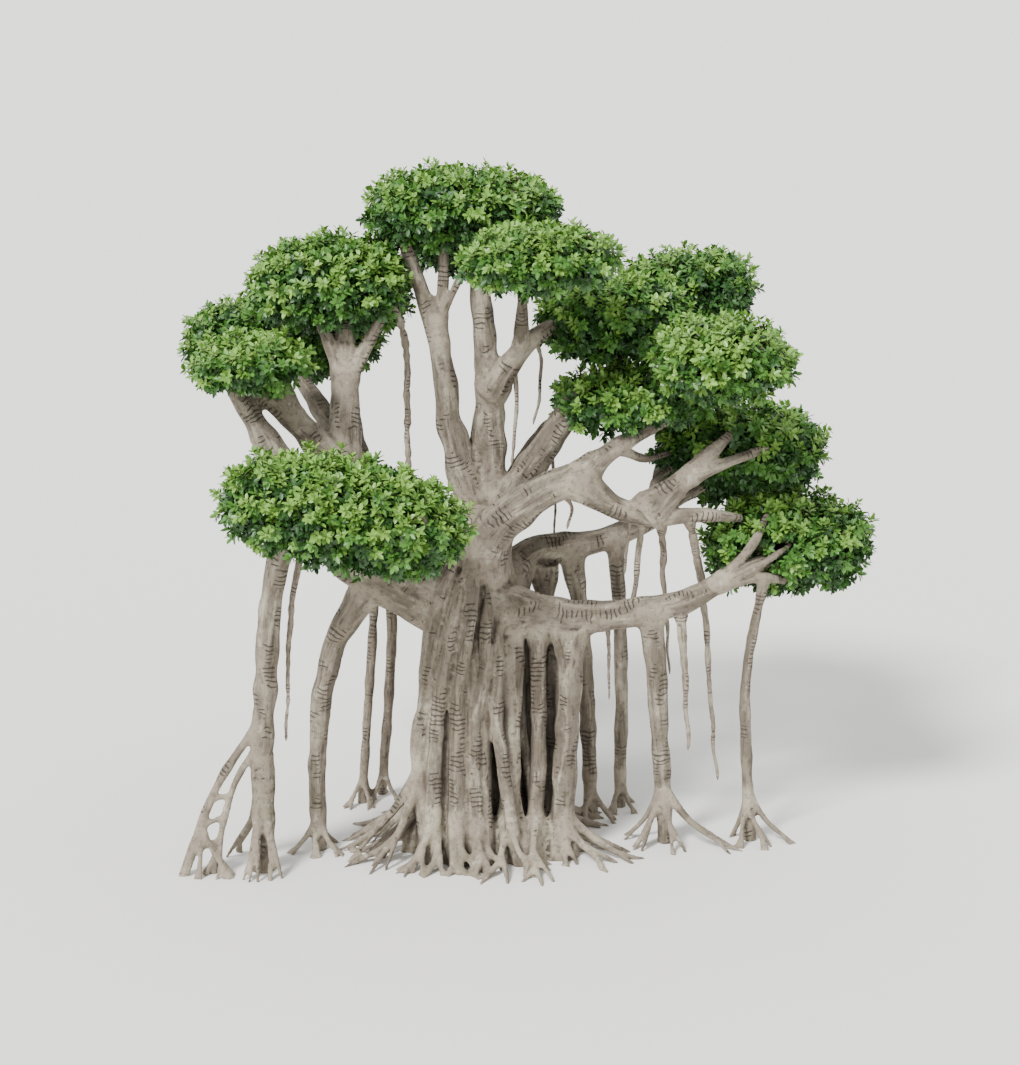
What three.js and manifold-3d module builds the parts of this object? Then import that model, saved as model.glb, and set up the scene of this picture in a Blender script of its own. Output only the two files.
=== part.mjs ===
// A banyan: a trunk of fused root columns, long boughs carried on prop roots,
// roots that hang in the air, and a crown of separate flat pads of foliage.
// Units are millimetres in the scene, and the sizes below are in metres.
// +Z is up, the ground is z = 0, and the drawn face of the tree looks along -Y.

import * as THREE from 'three';
import { mergeVertices } from 'three/addons/utils/BufferGeometryUtils.js';
import Module from 'manifold-3d';

const wasm = await Module();
wasm.setup();
const { Manifold, Mesh } = wasm;

const METRE = 1000;
const CLEARANCE = 0.3;        // millimetres of air between neighbouring solids
const MERGE = 0.001;          // millimetres within which two corners are one
const SLIVER = 0.1;           // millimetres of surface detail that a cut may lose
const UNDER_GROUND = -0.3;    // metres to which roots are drawn before the flat cut

// The trunk: a core with a ring of root columns round it, and the right columns,
// three that stand partly clear under the low bough, with dark slits between them,
// and three behind those.
const trunk = {
  centre: [-0.35, 0.1],
  levels: [7.2, 6.5, 4.8, 2.0, -0.3],          // heights at which the ring is sized
  ring: [0.34, 0.6, 0.9, 1.08, 1.5],           // ring radius at those heights
  lean: [0.2, 0.05, 0, 0, 0.05],               // drift of the ring towards +X there
  depth: 0.92,                                 // the ring's depth as a share of its width
  columns: 8,
  firstBearing: 28,
  bearingStep: 35,
  columnGirth: [0.5, 0.68],                    // head, foot
  columnChoice: [0.85, 1.2],                   // range of one column's girth against the next
  head: [-0.07, 0.18, 7.95],
  coreGirth: [1.3, 1.7],
  toesLeaveAt: 0.8,                            // share of a column's length
  toeHeight: 1.25,
  toeGirth: [0.36, 0.09],
  toeReach: [0.95, 1.15],                      // front and back, and more to the sides
  toeChoice: [0.8, 1.1],                       // range of one toe's reach against the next
  toeTurn: [8, 16],                            // degrees from the column's own bearing
};
const rightColumns = [
  { head: [0.52, -0.5, 5.75], foot: [0.36, -0.95], girth: [0.5, 0.46], toes: [255, 300] },
  { head: [1.08, -0.6, 5.2], foot: [0.98, -0.9], girth: [0.34, 0.4], toes: [270] },
  { head: [1.78, -0.6, 5.25], foot: [1.55, -0.75], girth: [0.62, 0.5], toes: [349, 314, 25, 280] },
  { head: [1.25, 1.15, 6.3], foot: [1.25, 0.7], girth: [0.46, 0.5], toes: [40, 75] },
  { head: [0.85, -0.2, 5.6], foot: [0.78, 0.35], girth: [0.5, 0.52], toes: [] },
  { head: [1.4, -0.3, 5.5], foot: [1.3, 0.25], girth: [0.46, 0.5], toes: [] },
];
const rightColumn = {
  bow: [0.06, 2.6],                            // drift towards +X, and the height it is at
  spread: 1.1, spreadFrom: 0.75,               // how much its foot widens, and from where
  toeHeight: 1.0, toeReach: 1.9, toeShorter: 0.35, toeGirth: 0.75, toeTip: 0.09,
};

// The boughs. Each one leaves its carrier at a point of the trunk or at a
// fraction of another bough's length, passes its via points and ends at its tip.
// Girths are diameters, at the foot and at the tip.
const boughs = [
  { name: 'bough_left', from: [-0.45, -0.1, 5.55],
    via: [[-1.96, -0.8, 6.26], [-3.01, -1.3, 7.05]], tip: [-4.2, -1.7, 8.2], girth: [1.42, 0.84] },
  { name: 'bough_low', from: [0.1, -0.3, 5.55],
    via: [[2.45, -0.6, 5.49], [4.21, -0.6, 5.83]], tip: [5.5, -0.75, 6.5], girth: [0.92, 0.46] },
  { name: 'bough_second', from: [0.1, 0.4, 5.7],
    via: [[0.91, 1.2, 6.5], [1.84, 1.6, 6.59], [3.28, 2.0, 6.95]], tip: [4.75, 2.9, 7.7],
    girth: [0.85, 0.4] },
  { name: 'arch_rise', from: [-0.3, -0.2, 6.3],
    via: [[0.24, -0.7, 7.6], [1.22, -0.9, 8.36]], tip: [2.15, -1.0, 8.85], girth: [1.0, 0.66] },
  { name: 'upright_middle', from: [-0.05, 0.3, 7.3],
    via: [[0.0, 0.5, 9.49], [-0.05, 0.35, 10.9]], tip: [-0.25, 0.35, 13.4], girth: [0.9, 0.4] },
  { name: 'upright_left', from: [-0.15, 0.2, 7.2],
    via: [[-0.86, 0.25, 9.64], [-1.09, 0.05, 11.46]], tip: [-1.85, 0.15, 13.7], girth: [0.82, 0.26] },
  { name: 'upright_right', from: [0.1, 0.15, 7.5],
    via: [[0.86, 0.1, 8.6]], tip: [1.78, -0.3, 10.15], girth: [0.8, 0.56] },
  { name: 'limb_back_top', from: [-0.1, 0.5, 7.4],
    via: [[-0.05, 1.9, 9.6]], tip: [-0.2, 3.8, 12.8], girth: [0.62, 0.3] },
  { name: 'limb_back_right', from: [0.1, 0.5, 7.3],
    via: [[1.2, 2.4, 9.0], [2.5, 4.0, 9.55]], tip: [3.15, 5.1, 10.75], girth: [0.62, 0.34] },

  { name: 'limb_left_low', on: 'bough_left', at: 0.97,
    via: [[-4.71, -1.5, 9.5]], tip: [-5.53, -1.48, 10.98], girth: [0.84, 0.32] },
  { name: 'upright_far', on: 'bough_left', at: 0.66,
    via: [[-3.1, -1.0, 9.3]], tip: [-3.12, -0.35, 11.7], girth: [1.0, 0.46] },
  { name: 'tine_far_left', on: 'upright_far', at: 0.78,
    via: [], tip: [-3.72, -0.5, 12.3], girth: [0.36, 0.22] },
  { name: 'tine_far_right', on: 'upright_far', at: 0.76,
    via: [], tip: [-2.3, -0.5, 12.15], girth: [0.38, 0.22] },
  { name: 'limb_left_middle', on: 'upright_far', at: 0.36,
    via: [[-4.2, -1.15, 10.0]], tip: [-5.02, -1.4, 10.8], girth: [0.76, 0.36] },
  { name: 'limb_far_left', on: 'upright_far', at: 0.46,
    via: [[-3.8, 0.3, 10.1]], tip: [-4.42, 1.55, 10.75], girth: [0.55, 0.34] },
  { name: 'limb_back_left', on: 'bough_left', at: 0.3,
    via: [[-2.5, 1.8, 7.0], [-3.2, 3.4, 8.9]], tip: [-3.6, 4.9, 11.05], girth: [0.7, 0.34] },
  { name: 'limb_back_low_left', on: 'limb_back_left', at: 0.36,
    via: [], tip: [-3.3, 3.0, 6.95], girth: [0.45, 0.32] },
  { name: 'limb_front_left', on: 'bough_left', at: 0.62,
    via: [], tip: [-3.0, -2.45, 7.75], girth: [0.6, 0.4] },

  { name: 'tine_upright_left', on: 'upright_left', at: 0.62,
    via: [], tip: [-0.97, 0.1, 13.6], girth: [0.36, 0.22] },
  { name: 'limb_middle_right', on: 'upright_middle', at: 0.5,
    via: [[0.85, 0.0, 11.5]], tip: [1.7, 0.35, 12.05], girth: [0.6, 0.28] },
  { name: 'tine_middle_right', on: 'limb_middle_right', at: 0.5,
    via: [], tip: [0.72, -1.15, 12.85], girth: [0.34, 0.24] },

  { name: 'arch_over', on: 'arch_rise', at: 0.95,
    via: [[2.85, -0.9, 9.4]], tip: [4.2, 0.05, 9.9], girth: [0.5, 0.2] },
  { name: 'arch_low', on: 'arch_rise', at: 0.9,
    via: [[2.74, -1.0, 8.05], [3.62, -0.9, 7.8], [4.7, -0.85, 7.85]], tip: [5.6, -0.2, 7.63],
    girth: [0.6, 0.22] },
  { name: 'arch_fork', on: 'arch_low', at: 0.42,
    via: [[4.5, -0.75, 8.85]], tip: [5.36, -0.05, 9.56], girth: [0.66, 0.24] },
  { name: 'tine_arch_fork', on: 'arch_fork', at: 0.4,
    via: [[5.1, -0.75, 8.95]], tip: [5.85, -0.35, 9.15], girth: [0.36, 0.2] },
  { name: 'limb_right_rise', on: 'bough_second', at: 0.8,
    via: [[4.2, 2.7, 9.0]], tip: [4.6, 3.0, 11.75], girth: [0.5, 0.28] },
  { name: 'limb_right_front', on: 'limb_right_rise', at: 0.6,
    via: [[4.8, 1.9, 10.75], [5.45, 0.4, 10.98]], tip: [5.0, -1.55, 10.8], girth: [0.42, 0.26] },
  { name: 'tine_low_up', on: 'bough_low', at: 0.9,
    via: [[5.75, -0.85, 7.17]], tip: [6.15, -0.25, 7.76], girth: [0.32, 0.15] },
  { name: 'tine_low_down', on: 'bough_low', at: 0.96,
    via: [[6.05, -0.8, 6.44]], tip: [6.6, -0.4, 6.24], girth: [0.32, 0.15] },
];

// Prop roots: from a bough down to the ground, where each spreads in toes.
// A toe is given by its bearing in degrees and its reach.
const props = [
  { name: 'column_left', on: 'bough_left', at: 0.93,
    via: [[-4.4, -1.75, 7.4], [-4.9, -1.7, 3.9]], foot: [-5.0, -1.7], girth: [0.5, 0.52],
    toeHeight: 2.6, toes: [[291, 0.75], [125, 1.4], [248, 0.85]] },
  { name: 'strut_left', on: 'column_left', at: 0.55,
    via: [[-5.95, -1.85, 2.0]], foot: [-6.85, -2.1], girth: [0.2, 0.2],
    toeHeight: 1.2, toes: [[195, 0.45], [255, 0.4], [335, 0.8]] },
  { name: 'prop_inner', on: 'bough_left', at: 0.5,
    via: [[-3.5, -0.95, 4.7], [-3.85, -0.6, 2.3]], foot: [-3.87, -0.35], girth: [0.6, 0.32],
    toeHeight: 0.8, toes: [[195, 0.75], [260, 0.6], [320, 0.75], [60, 0.7]] },
  { name: 'prop_thin_1', on: 'limb_back_left', at: 0.4,
    via: [[-2.75, 2.2, 4.6]], foot: [-3.15, 2.9], girth: [0.24, 0.22],
    toeHeight: 0.8, toes: [[215, 0.6], [290, 0.5], [60, 0.5]] },
  { name: 'prop_thin_2', on: 'limb_back_left', at: 0.28,
    via: [[-2.3, 1.9, 4.6]], foot: [-2.7, 3.6], girth: [0.28, 0.24],
    toeHeight: 0.8, toes: [[225, 0.6], [320, 0.5], [90, 0.5]] },
  { name: 'prop_second_1', on: 'bough_second', at: 0.42,
    via: [[2.15, 1.6, 4.4]], foot: [2.4, 1.75], girth: [0.46, 0.34],
    toeHeight: 0.9, toes: [[245, 0.75], [330, 0.75], [90, 0.6]] },
  { name: 'prop_second_2', on: 'bough_second', at: 0.6,
    via: [[3.05, 2.0, 4.3]], foot: [3.1, 2.6], girth: [0.36, 0.3],
    toeHeight: 0.8, toes: [[240, 0.6], [310, 0.6], [60, 0.6]] },
  { name: 'prop_front', on: 'bough_low', at: 0.62,
    via: [[3.78, -0.35, 3.5], [3.9, 0.0, 1.8]], foot: [4.05, 0.1], girth: [0.5, 0.36],
    toeHeight: 1.35, toes: [[150, 1.0], [215, 0.85], [290, 0.9], [338, 1.9]] },
  { name: 'prop_far_right', on: 'tine_low_down', at: 0.5,
    via: [[5.75, -0.2, 3.9], [5.84, 0.1, 2.0]], foot: [6.0, 0.25], girth: [0.22, 0.3],
    toeHeight: 1.2, toes: [[130, 0.5], [240, 0.6], [300, 0.8], [350, 1.15]] },
];

// Air roots that end above the ground.
const airRoots = [
  { name: 'air_root_left', on: 'bough_left', at: 0.9,
    via: [[-4.25, -1.45, 6.2]], tip: [-4.51, -1.45, 2.88], girth: [0.17, 0.06] },
  { name: 'air_root_long', on: 'tine_far_right', at: 0.85,
    via: [[-2.1, -0.25, 12.3], [-1.83, 0.15, 11.4], [-1.82, 0.5, 10.0]],
    tip: [-1.83, 0.55, 7.4], girth: [0.17, 0.12] },
  { name: 'air_root_low', on: 'bough_low', at: 0.74,
    via: [[4.33, -0.7, 4.4]], tip: [4.4, -0.85, 2.5], girth: [0.25, 0.07] },
  { name: 'air_root_arch', on: 'arch_low', at: 0.65,
    via: [[4.75, -0.05, 6.0], [4.95, 0.15, 4.0]], tip: [5.2, 0.3, 1.41], girth: [0.22, 0.07] },
];

// The pads of foliage. Each keeps to its own flattened ball of space.
const masses = [
  { name: 'foliage_top', on: 'upright_middle', centre: [-0.55, 0.75, 14.4], half: [2.25, 1.9, 0.98] },
  { name: 'foliage_top_front', on: 'tine_middle_right', centre: [1.08, -2.4, 13.59],
    half: [1.75, 1.3, 0.72] },
  { name: 'foliage_upper_left', on: 'upright_far', centre: [-3.54, 0.3, 12.84],
    half: [1.91, 1.7, 1.15] },
  { name: 'foliage_far_left', on: 'limb_far_left', centre: [-4.76, 2.6, 11.34],
    half: [2.46, 1.4, 1.03] },
  { name: 'foliage_left', on: 'limb_left_middle', centre: [-5.02, -1.7, 11.34],
    half: [1.29, 1.2, 0.64] },
  { name: 'foliage_front_left', on: 'limb_front_left', centre: [-2.94, -3.6, 8.5],
    half: [2.75, 1.6, 1.2], tilt: 12 },
  { name: 'foliage_right_1', on: 'limb_right_rise', centre: [4.6, 3.1, 12.5],
    half: [1.62, 1.45, 0.89] },
  { name: 'foliage_right_2', on: 'limb_middle_right', centre: [2.68, 0.6, 12.05],
    half: [1.86, 1.4, 1.02] },
  { name: 'foliage_right_3', on: 'limb_right_front', centre: [4.9, -2.2, 11.5],
    half: [1.52, 1.45, 0.92] },
  { name: 'foliage_right_4', on: 'upright_right', centre: [3.15, 0.1, 10.33],
    half: [1.95, 1.5, 0.72] },
  { name: 'foliage_right_5', on: 'tine_arch_fork', centre: [5.6, 1.0, 9.15],
    half: [2.05, 1.5, 0.98] },
  { name: 'foliage_far_right', on: 'bough_low', centre: [6.71, 0.5, 7.0],
    half: [1.93, 1.57, 1.19] },
  { name: 'foliage_back_top', on: 'limb_back_top', centre: [-0.24, 4.3, 13.5],
    half: [1.85, 1.6, 0.85] },
  { name: 'foliage_back_left', on: 'limb_back_left', centre: [-3.73, 5.4, 11.9],
    half: [1.8, 1.5, 0.96] },
  { name: 'foliage_back_right', on: 'limb_back_right', centre: [3.2, 5.7, 11.4],
    half: [1.92, 1.5, 1.02] },
  { name: 'foliage_back_low_left', on: 'limb_back_low_left', centre: [-3.61, 4.1, 7.1],
    half: [2.03, 1.5, 0.96] },
  { name: 'foliage_back_low_right', on: 'bough_second', centre: [6.05, 4.1, 8.2],
    half: [1.79, 1.5, 1.07] },
];
const core = {
  share: 0.91, lump: 0.06, underside: 0.75, bulges: 9, largePad: 2.3, roundness: 2.4,
};
const stem = { straight: 0.25, taper: 0.5, heart: -0.2 };
const twigs = {
  count: 5, coverage: 1.4, turn: 2.4, sway: 0.6, girth: [0.16, 0.07], spread: 0.45, reach: 0.99,
};
const leaf = { length: 0.75, width: 0.5, thickness: 0.05, sunk: 0.22, choice: [0.85, 1.1] };
const LEAF_ROOM = 50;         // millimetres that leaves and twigs keep from any limb

// A limb's collar swells by this share where it leaves its carrier.
const COLLAR = 0.4;
const BURIED_IN_TRUNK = 0.5;

// A root toe bends level at a share of its reach and of its first height, and a
// lesser toe forks from it. Turns are in degrees, lengths are shares of the reach.
const toeShape = {
  level: [0.4, 0.22], tipDepth: 0.04, girth: 0.85, tipGirth: 0.07, leaveStep: 0.01,
  forkAt: 0.55, forkTurn: [16, 30], forkReach: [0.8, 0.86], forkDepth: 0.03,
  forkGirthAt: 0.6, forkTaper: 0.55, forksOver: 0.31, forkSides: [1, 0, 0, -1],
};

// How finely limbs are faceted: sides by girth, and steps by length and girth.
// The pairs give the sides and the steps of the other round bars.
const facets = {
  thick: 0.7, slender: 0.3, sides: [7, 6, 5], stepLength: [0.55, 1.9], steps: [2, 5],
  core: [7, 4], column: [5, 5], rightColumn: [5, 4], toe: [4, 3], fork: [3, 1],
  stemSteps: 2, twig: [3, 1],
};

const seeds = { columns: 40, pads: 7 };
const roughness = { bark: 0.9, leaf: 0.7 };
const barkColour = 0x8c8173;
const rootColour = 0x978b7b;
const leafColours = [0x4f7a35, 0x426d2f, 0x5b8640, 0x3a6129];

const point = ([x, y, z]) => new THREE.Vector3(x, y, z).multiplyScalar(METRE);
const radians = THREE.MathUtils.degToRad;
const mix = THREE.MathUtils.lerp;

// A repeatable stream of numbers between 0 and 1.
function seeded(seed) {
  let state = seed * 2654435761 >>> 0;
  return () => {
    state = state + 0x6d2b79f5 | 0;
    let value = Math.imul(state ^ state >>> 15, 1 | state);
    value = value + Math.imul(value ^ value >>> 7, 61 | value) ^ value;
    return ((value ^ value >>> 14) >>> 0) / 4294967296;
  };
}

function toSolid(geometry) {
  for (const name of ['normal', 'uv']) geometry.deleteAttribute(name);
  const merged = mergeVertices(geometry, MERGE);
  return new Manifold(new Mesh({
    numProp: 3,
    vertProperties: new Float32Array(merged.attributes.position.array),
    triVerts: new Uint32Array(merged.index.array),
  }));
}

// The largest body of a solid: scraps and sealed hollows are left behind.
function largest(solid) {
  const bodies = solid.decompose();
  bodies.sort((a, b) => b.volume() - a.volume());
  return bodies[0];
}

// A closed round bar along a curve. radiusAt gives its radius at a share of the length.
// A grown bar is the same bar with its faces moved out, for cutting neighbours clear.
function bar(curve, radiusAt, sides, steps, grow = 0) {
  const geometry = new THREE.CylinderGeometry(1, 1, 1, sides, steps);
  const { tangents, normals, binormals } = curve.computeFrenetFrames(steps, false);
  const corners = geometry.attributes.position;
  for (let i = 0; i < corners.count; i += 1) {
    const step = Math.round((corners.getY(i) + 0.5) * steps);
    const radius = radiusAt(step / steps) + grow / Math.cos(Math.PI / sides);
    const end = step === 0 ? -grow : step === steps ? grow : 0;
    const place = curve.getPointAt(step / steps)
      .addScaledVector(tangents[step], end)
      .addScaledVector(normals[step], corners.getX(i) * radius)
      .addScaledVector(binormals[step], -corners.getZ(i) * radius);
    corners.setXYZ(i, place.x, place.y, place.z);
  }
  return toSolid(geometry);
}

const sidesFor = (girth) => {
  const [thick, middling, slender] = facets.sides;
  return girth > facets.thick ? thick : girth > facets.slender ? middling : slender;
};
const stepsFor = (length, girth) => {
  const stepLength = facets.stepLength[0] + facets.stepLength[1] * girth;
  return THREE.MathUtils.clamp(Math.round(length / METRE / stepLength), ...facets.steps);
};

const limbs = new Map();

// Where a limb starts: a point in the trunk, or a share of its carrier's length.
function rootOf(spec) {
  if (spec.from) return point(spec.from);
  return limbs.get(spec.on).curve.getPointAt(spec.at);
}

// A limb's centre line and its radius along it, with a collar where it leaves
// its carrier.
function centreLine(spec, end) {
  const root = rootOf(spec);
  const curve = new THREE.CatmullRomCurve3([root, ...spec.via.map(point), point(end)], false,
    'centripetal');
  const length = curve.getLength();
  const buried = spec.on ? limbs.get(spec.on).radiusAt(spec.at) : BURIED_IN_TRUNK * METRE;
  const foot = spec.girth[0] * METRE / 2;
  const tip = spec.girth[1] * METRE / 2;
  const radiusAt = (share) => {
    const clear = Math.max(0, share * length - buried);
    const collar = 1 + COLLAR * Math.exp(-clear / foot);
    return mix(foot, tip, share) * collar;
  };
  return { root, curve, length, radiusAt };
}

function limb(spec, end) {
  const line = centreLine(spec, end);
  const sides = sidesFor(spec.girth[0]);
  const steps = stepsFor(line.length, (spec.girth[0] + spec.girth[1]) / 2);
  const make = (grow) => bar(line.curve, line.radiusAt, sides, steps, grow);
  return { ...line, sides, make };
}

// One root toe: it leaves its column at a height, sweeps out along its bearing
// and thins away at the ground. side is -1 or 1 for a lesser toe forked from that
// side of it, or 0 for none.
function toe(start, bearing, reach, girth, side, grow) {
  const out = (degrees, distance, height) => new THREE.Vector3(
    start.x + Math.cos(radians(degrees)) * distance * METRE,
    start.y + Math.sin(radians(degrees)) * distance * METRE,
    height,
  );
  const { level, tipDepth, forkAt, forkTurn, forkReach, forkDepth } = toeShape;
  const main = new THREE.QuadraticBezierCurve3(start,
    out(bearing, reach * level[0], start.z * level[1]), out(bearing, reach, -tipDepth * METRE));
  const forked = main.getPointAt(forkAt);
  const lesser = new THREE.QuadraticBezierCurve3(forked,
    forked.clone().lerp(out(bearing + side * forkTurn[0], reach * forkReach[0], 0), 0.5),
    out(bearing + side * forkTurn[1], reach * forkReach[1], -forkDepth * METRE));
  const radiusAt = (share) => mix(girth[0], girth[1], Math.sqrt(share)) * METRE / 2;
  const forkRadius = radiusAt(toeShape.forkGirthAt);
  const lesserRadius = (share) => forkRadius * (1 - toeShape.forkTaper * share);
  const pieces = [bar(main, radiusAt, ...facets.toe, grow)];
  if (side) pieces.push(bar(lesser, lesserRadius, ...facets.fork, grow));
  return pieces;
}

const aboveGround = (solid) => solid.trimByPlane([0, 0, 1], 0);

// A prop root: a limb that goes on below the ground line and is cut there,
// with its toes.
function prop(spec) {
  const shaft = limb(spec, [...spec.foot, UNDER_GROUND]);
  const start = point([...spec.foot, 0]);
  let share = 1;
  while (share > 0 && start.z < spec.toeHeight * METRE) {
    start.copy(shaft.curve.getPointAt(share));
    share -= toeShape.leaveStep;
  }
  const girth = [spec.girth[1] * toeShape.girth, toeShape.tipGirth];
  const forked = spec.girth[1] > toeShape.forksOver;
  const make = (grow) => {
    const pieces = [shaft.make(grow)];
    spec.toes.forEach(([bearing, reach], i) => {
      const side = forked ? toeShape.forkSides[i % toeShape.forkSides.length] : 0;
      pieces.push(...toe(start, bearing, reach, girth, side, grow));
    });
    return aboveGround(Manifold.union(pieces));
  };
  return { ...shaft, make };
}

// The trunk: core, ring of columns and right columns, each with its toes.
function trunkSolid(grow) {
  const pieces = [];
  const [cx, cy] = trunk.centre;
  const along = (girth) => (share) => mix(girth[0], girth[1], share) * METRE / 2;
  const stations = (bearing, ringShare) => trunk.levels.map((height, i) => point([
    cx + trunk.lean[i] + Math.cos(bearing) * trunk.ring[i] * ringShare,
    cy + Math.sin(bearing) * trunk.ring[i] * ringShare * trunk.depth,
    height,
  ]));
  const coreLine = new THREE.CatmullRomCurve3([point(trunk.head), ...stations(0, 0).slice(1)],
    false, 'centripetal');
  pieces.push(bar(coreLine, along(trunk.coreGirth), ...facets.core, grow));
  for (let k = 0; k < trunk.columns; k += 1) {
    const degrees = trunk.firstBearing + k * trunk.bearingStep;
    const bearing = radians(degrees);
    const random = seeded(seeds.columns + k);
    const thickness = mix(...trunk.columnChoice, random());
    const line = new THREE.CatmullRomCurve3(stations(bearing, 1), false, 'centripetal');
    const radiusAt = (share) => along(trunk.columnGirth)(share) * thickness;
    pieces.push(bar(line, radiusAt, ...facets.column, grow));
    const start = line.getPointAt(trunk.toesLeaveAt).setZ(trunk.toeHeight * METRE);
    const reach = trunk.toeReach[0] + trunk.toeReach[1] * Math.abs(Math.cos(bearing));
    for (const side of [-1, 1]) {
      const turn = side * mix(...trunk.toeTurn, random());
      const far = reach * mix(...trunk.toeChoice, random());
      const forked = k % 2 ? side : 0;
      pieces.push(...toe(start, degrees + turn, far, trunk.toeGirth, forked, grow));
    }
  }
  const { spread, spreadFrom, toeReach, toeShorter } = rightColumn;
  const [drift, bowHeight] = rightColumn.bow;
  for (const { head, foot, girth, toes } of rightColumns) {
    const bow = [(head[0] + foot[0]) / 2 + drift, (head[1] + foot[1]) / 2, bowHeight];
    const ends = [point(head), point(bow), point([...foot, UNDER_GROUND])];
    const line = new THREE.CatmullRomCurve3(ends, false, 'centripetal');
    const widening = (share) => 1 + spread * Math.max(0, share - spreadFrom) / (1 - spreadFrom);
    const radiusAt = (share) => along(girth)(share) * widening(share);
    pieces.push(bar(line, radiusAt, ...facets.rightColumn, grow));
    const start = line.getPointAt(trunk.toesLeaveAt).setZ(rightColumn.toeHeight * METRE);
    const toeGirth = [girth[1] * rightColumn.toeGirth, rightColumn.toeTip];
    toes.forEach((bearing, i) => {
      pieces.push(...toe(start, bearing, toeReach - toeShorter * i, toeGirth, i % 2, grow));
    });
  }
  return aboveGround(Manifold.union(pieces));
}

const settled = [];

const boxesMeet = (a, b) => [0, 1, 2].every((i) => a.min[i] < b.max[i] && b.min[i] < a.max[i]);

// The solid cut clear of everything made before it.
function clearOf(solid, others) {
  const box = solid.boundingBox();
  const near = others.filter((other) => boxesMeet(box, other.box)).map((other) => other.fat);
  return near.length ? solid.subtract(Manifold.union(near)) : solid;
}

const group = new THREE.Group();

function addMesh(name, solid, origin, colour, rough) {
  const { vertProperties, triVerts } = solid.getMesh();
  const geometry = new THREE.BufferGeometry();
  geometry.setAttribute('position', new THREE.BufferAttribute(vertProperties, 3));
  geometry.setIndex(new THREE.BufferAttribute(triVerts, 1));
  geometry.translate(-origin.x, -origin.y, -origin.z);
  const material = new THREE.MeshStandardMaterial({
    color: colour, roughness: rough, metalness: 0, flatShading: true,
  });
  const mesh = new THREE.Mesh(geometry, material);
  mesh.name = name;
  mesh.position.copy(origin);
  group.add(mesh);
}

function settle(name, make, origin, colour) {
  const solid = largest(clearOf(make(0), settled).simplify(SLIVER));
  const fat = make(CLEARANCE);
  settled.push({ solid, fat, box: fat.boundingBox() });
  addMesh(name, solid, origin, colour, roughness.bark);
}

settle('trunk', trunkSolid, new THREE.Vector3(), barkColour);
for (const spec of boughs) {
  limbs.set(spec.name, limb(spec, spec.tip));
  settle(spec.name, limbs.get(spec.name).make, limbs.get(spec.name).root, barkColour);
}
for (const spec of props) {
  limbs.set(spec.name, prop(spec));
  settle(spec.name, limbs.get(spec.name).make, limbs.get(spec.name).root, rootColour);
}
for (const spec of airRoots) {
  limbs.set(spec.name, limb(spec, spec.tip));
  settle(spec.name, limbs.get(spec.name).make, limbs.get(spec.name).root, rootColour);
}

// How far a pad swells past a plain ball in one direction, so that its sides
// and shoulders are fuller.
function fullness(direction) {
  const sum = ['x', 'y', 'z'].reduce((total, axis) => total
    + Math.abs(direction[axis]) ** core.roundness, 0);
  return direction.length() / sum ** (1 / core.roundness);
}

// The dense core of a pad: a lumpy ball with a flatter underside.
function padCore(spec, within, random) {
  const shell = new THREE.IcosahedronGeometry(1, spec.half[0] > core.largePad ? 2 : 1);
  const corners = shell.attributes.position;
  const bulges = Array.from({ length: core.bulges }, () => new THREE.Vector3(
    random() - 0.5, random() - 0.5, random() - 0.35).normalize());
  for (let i = 0; i < corners.count; i += 1) {
    const direction = new THREE.Vector3().fromBufferAttribute(corners, i).normalize();
    const swell = Math.max(...bulges.map((bulge) => bulge.dot(direction)));
    const share = core.share - core.lump + 2 * core.lump * Math.max(0, swell) ** 3;
    if (direction.z < 0) direction.z *= core.underside;
    const place = within(direction, share);
    corners.setXYZ(i, place.x, place.y, place.z);
  }
  return toSolid(shell);
}

// One leaf spray: a flat diamond whose length lies along its direction.
function leafSpray(root, outward, size, roll) {
  const blade = new THREE.OctahedronGeometry(1);
  blade.scale(leaf.width * size * METRE / 2, leaf.thickness * METRE / 2, leaf.length * METRE / 2);
  const up = new THREE.Vector3(0, 0, 1);
  const aim = new THREE.Matrix4().lookAt(outward, new THREE.Vector3(), up);
  blade.applyMatrix4(new THREE.Matrix4().makeRotationZ(roll)).applyMatrix4(aim);
  const middle = root.clone().addScaledVector(outward, leaf.length * (0.5 - leaf.sunk) * METRE);
  blade.translate(middle.x, middle.y, middle.z);
  return toSolid(blade);
}

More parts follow.
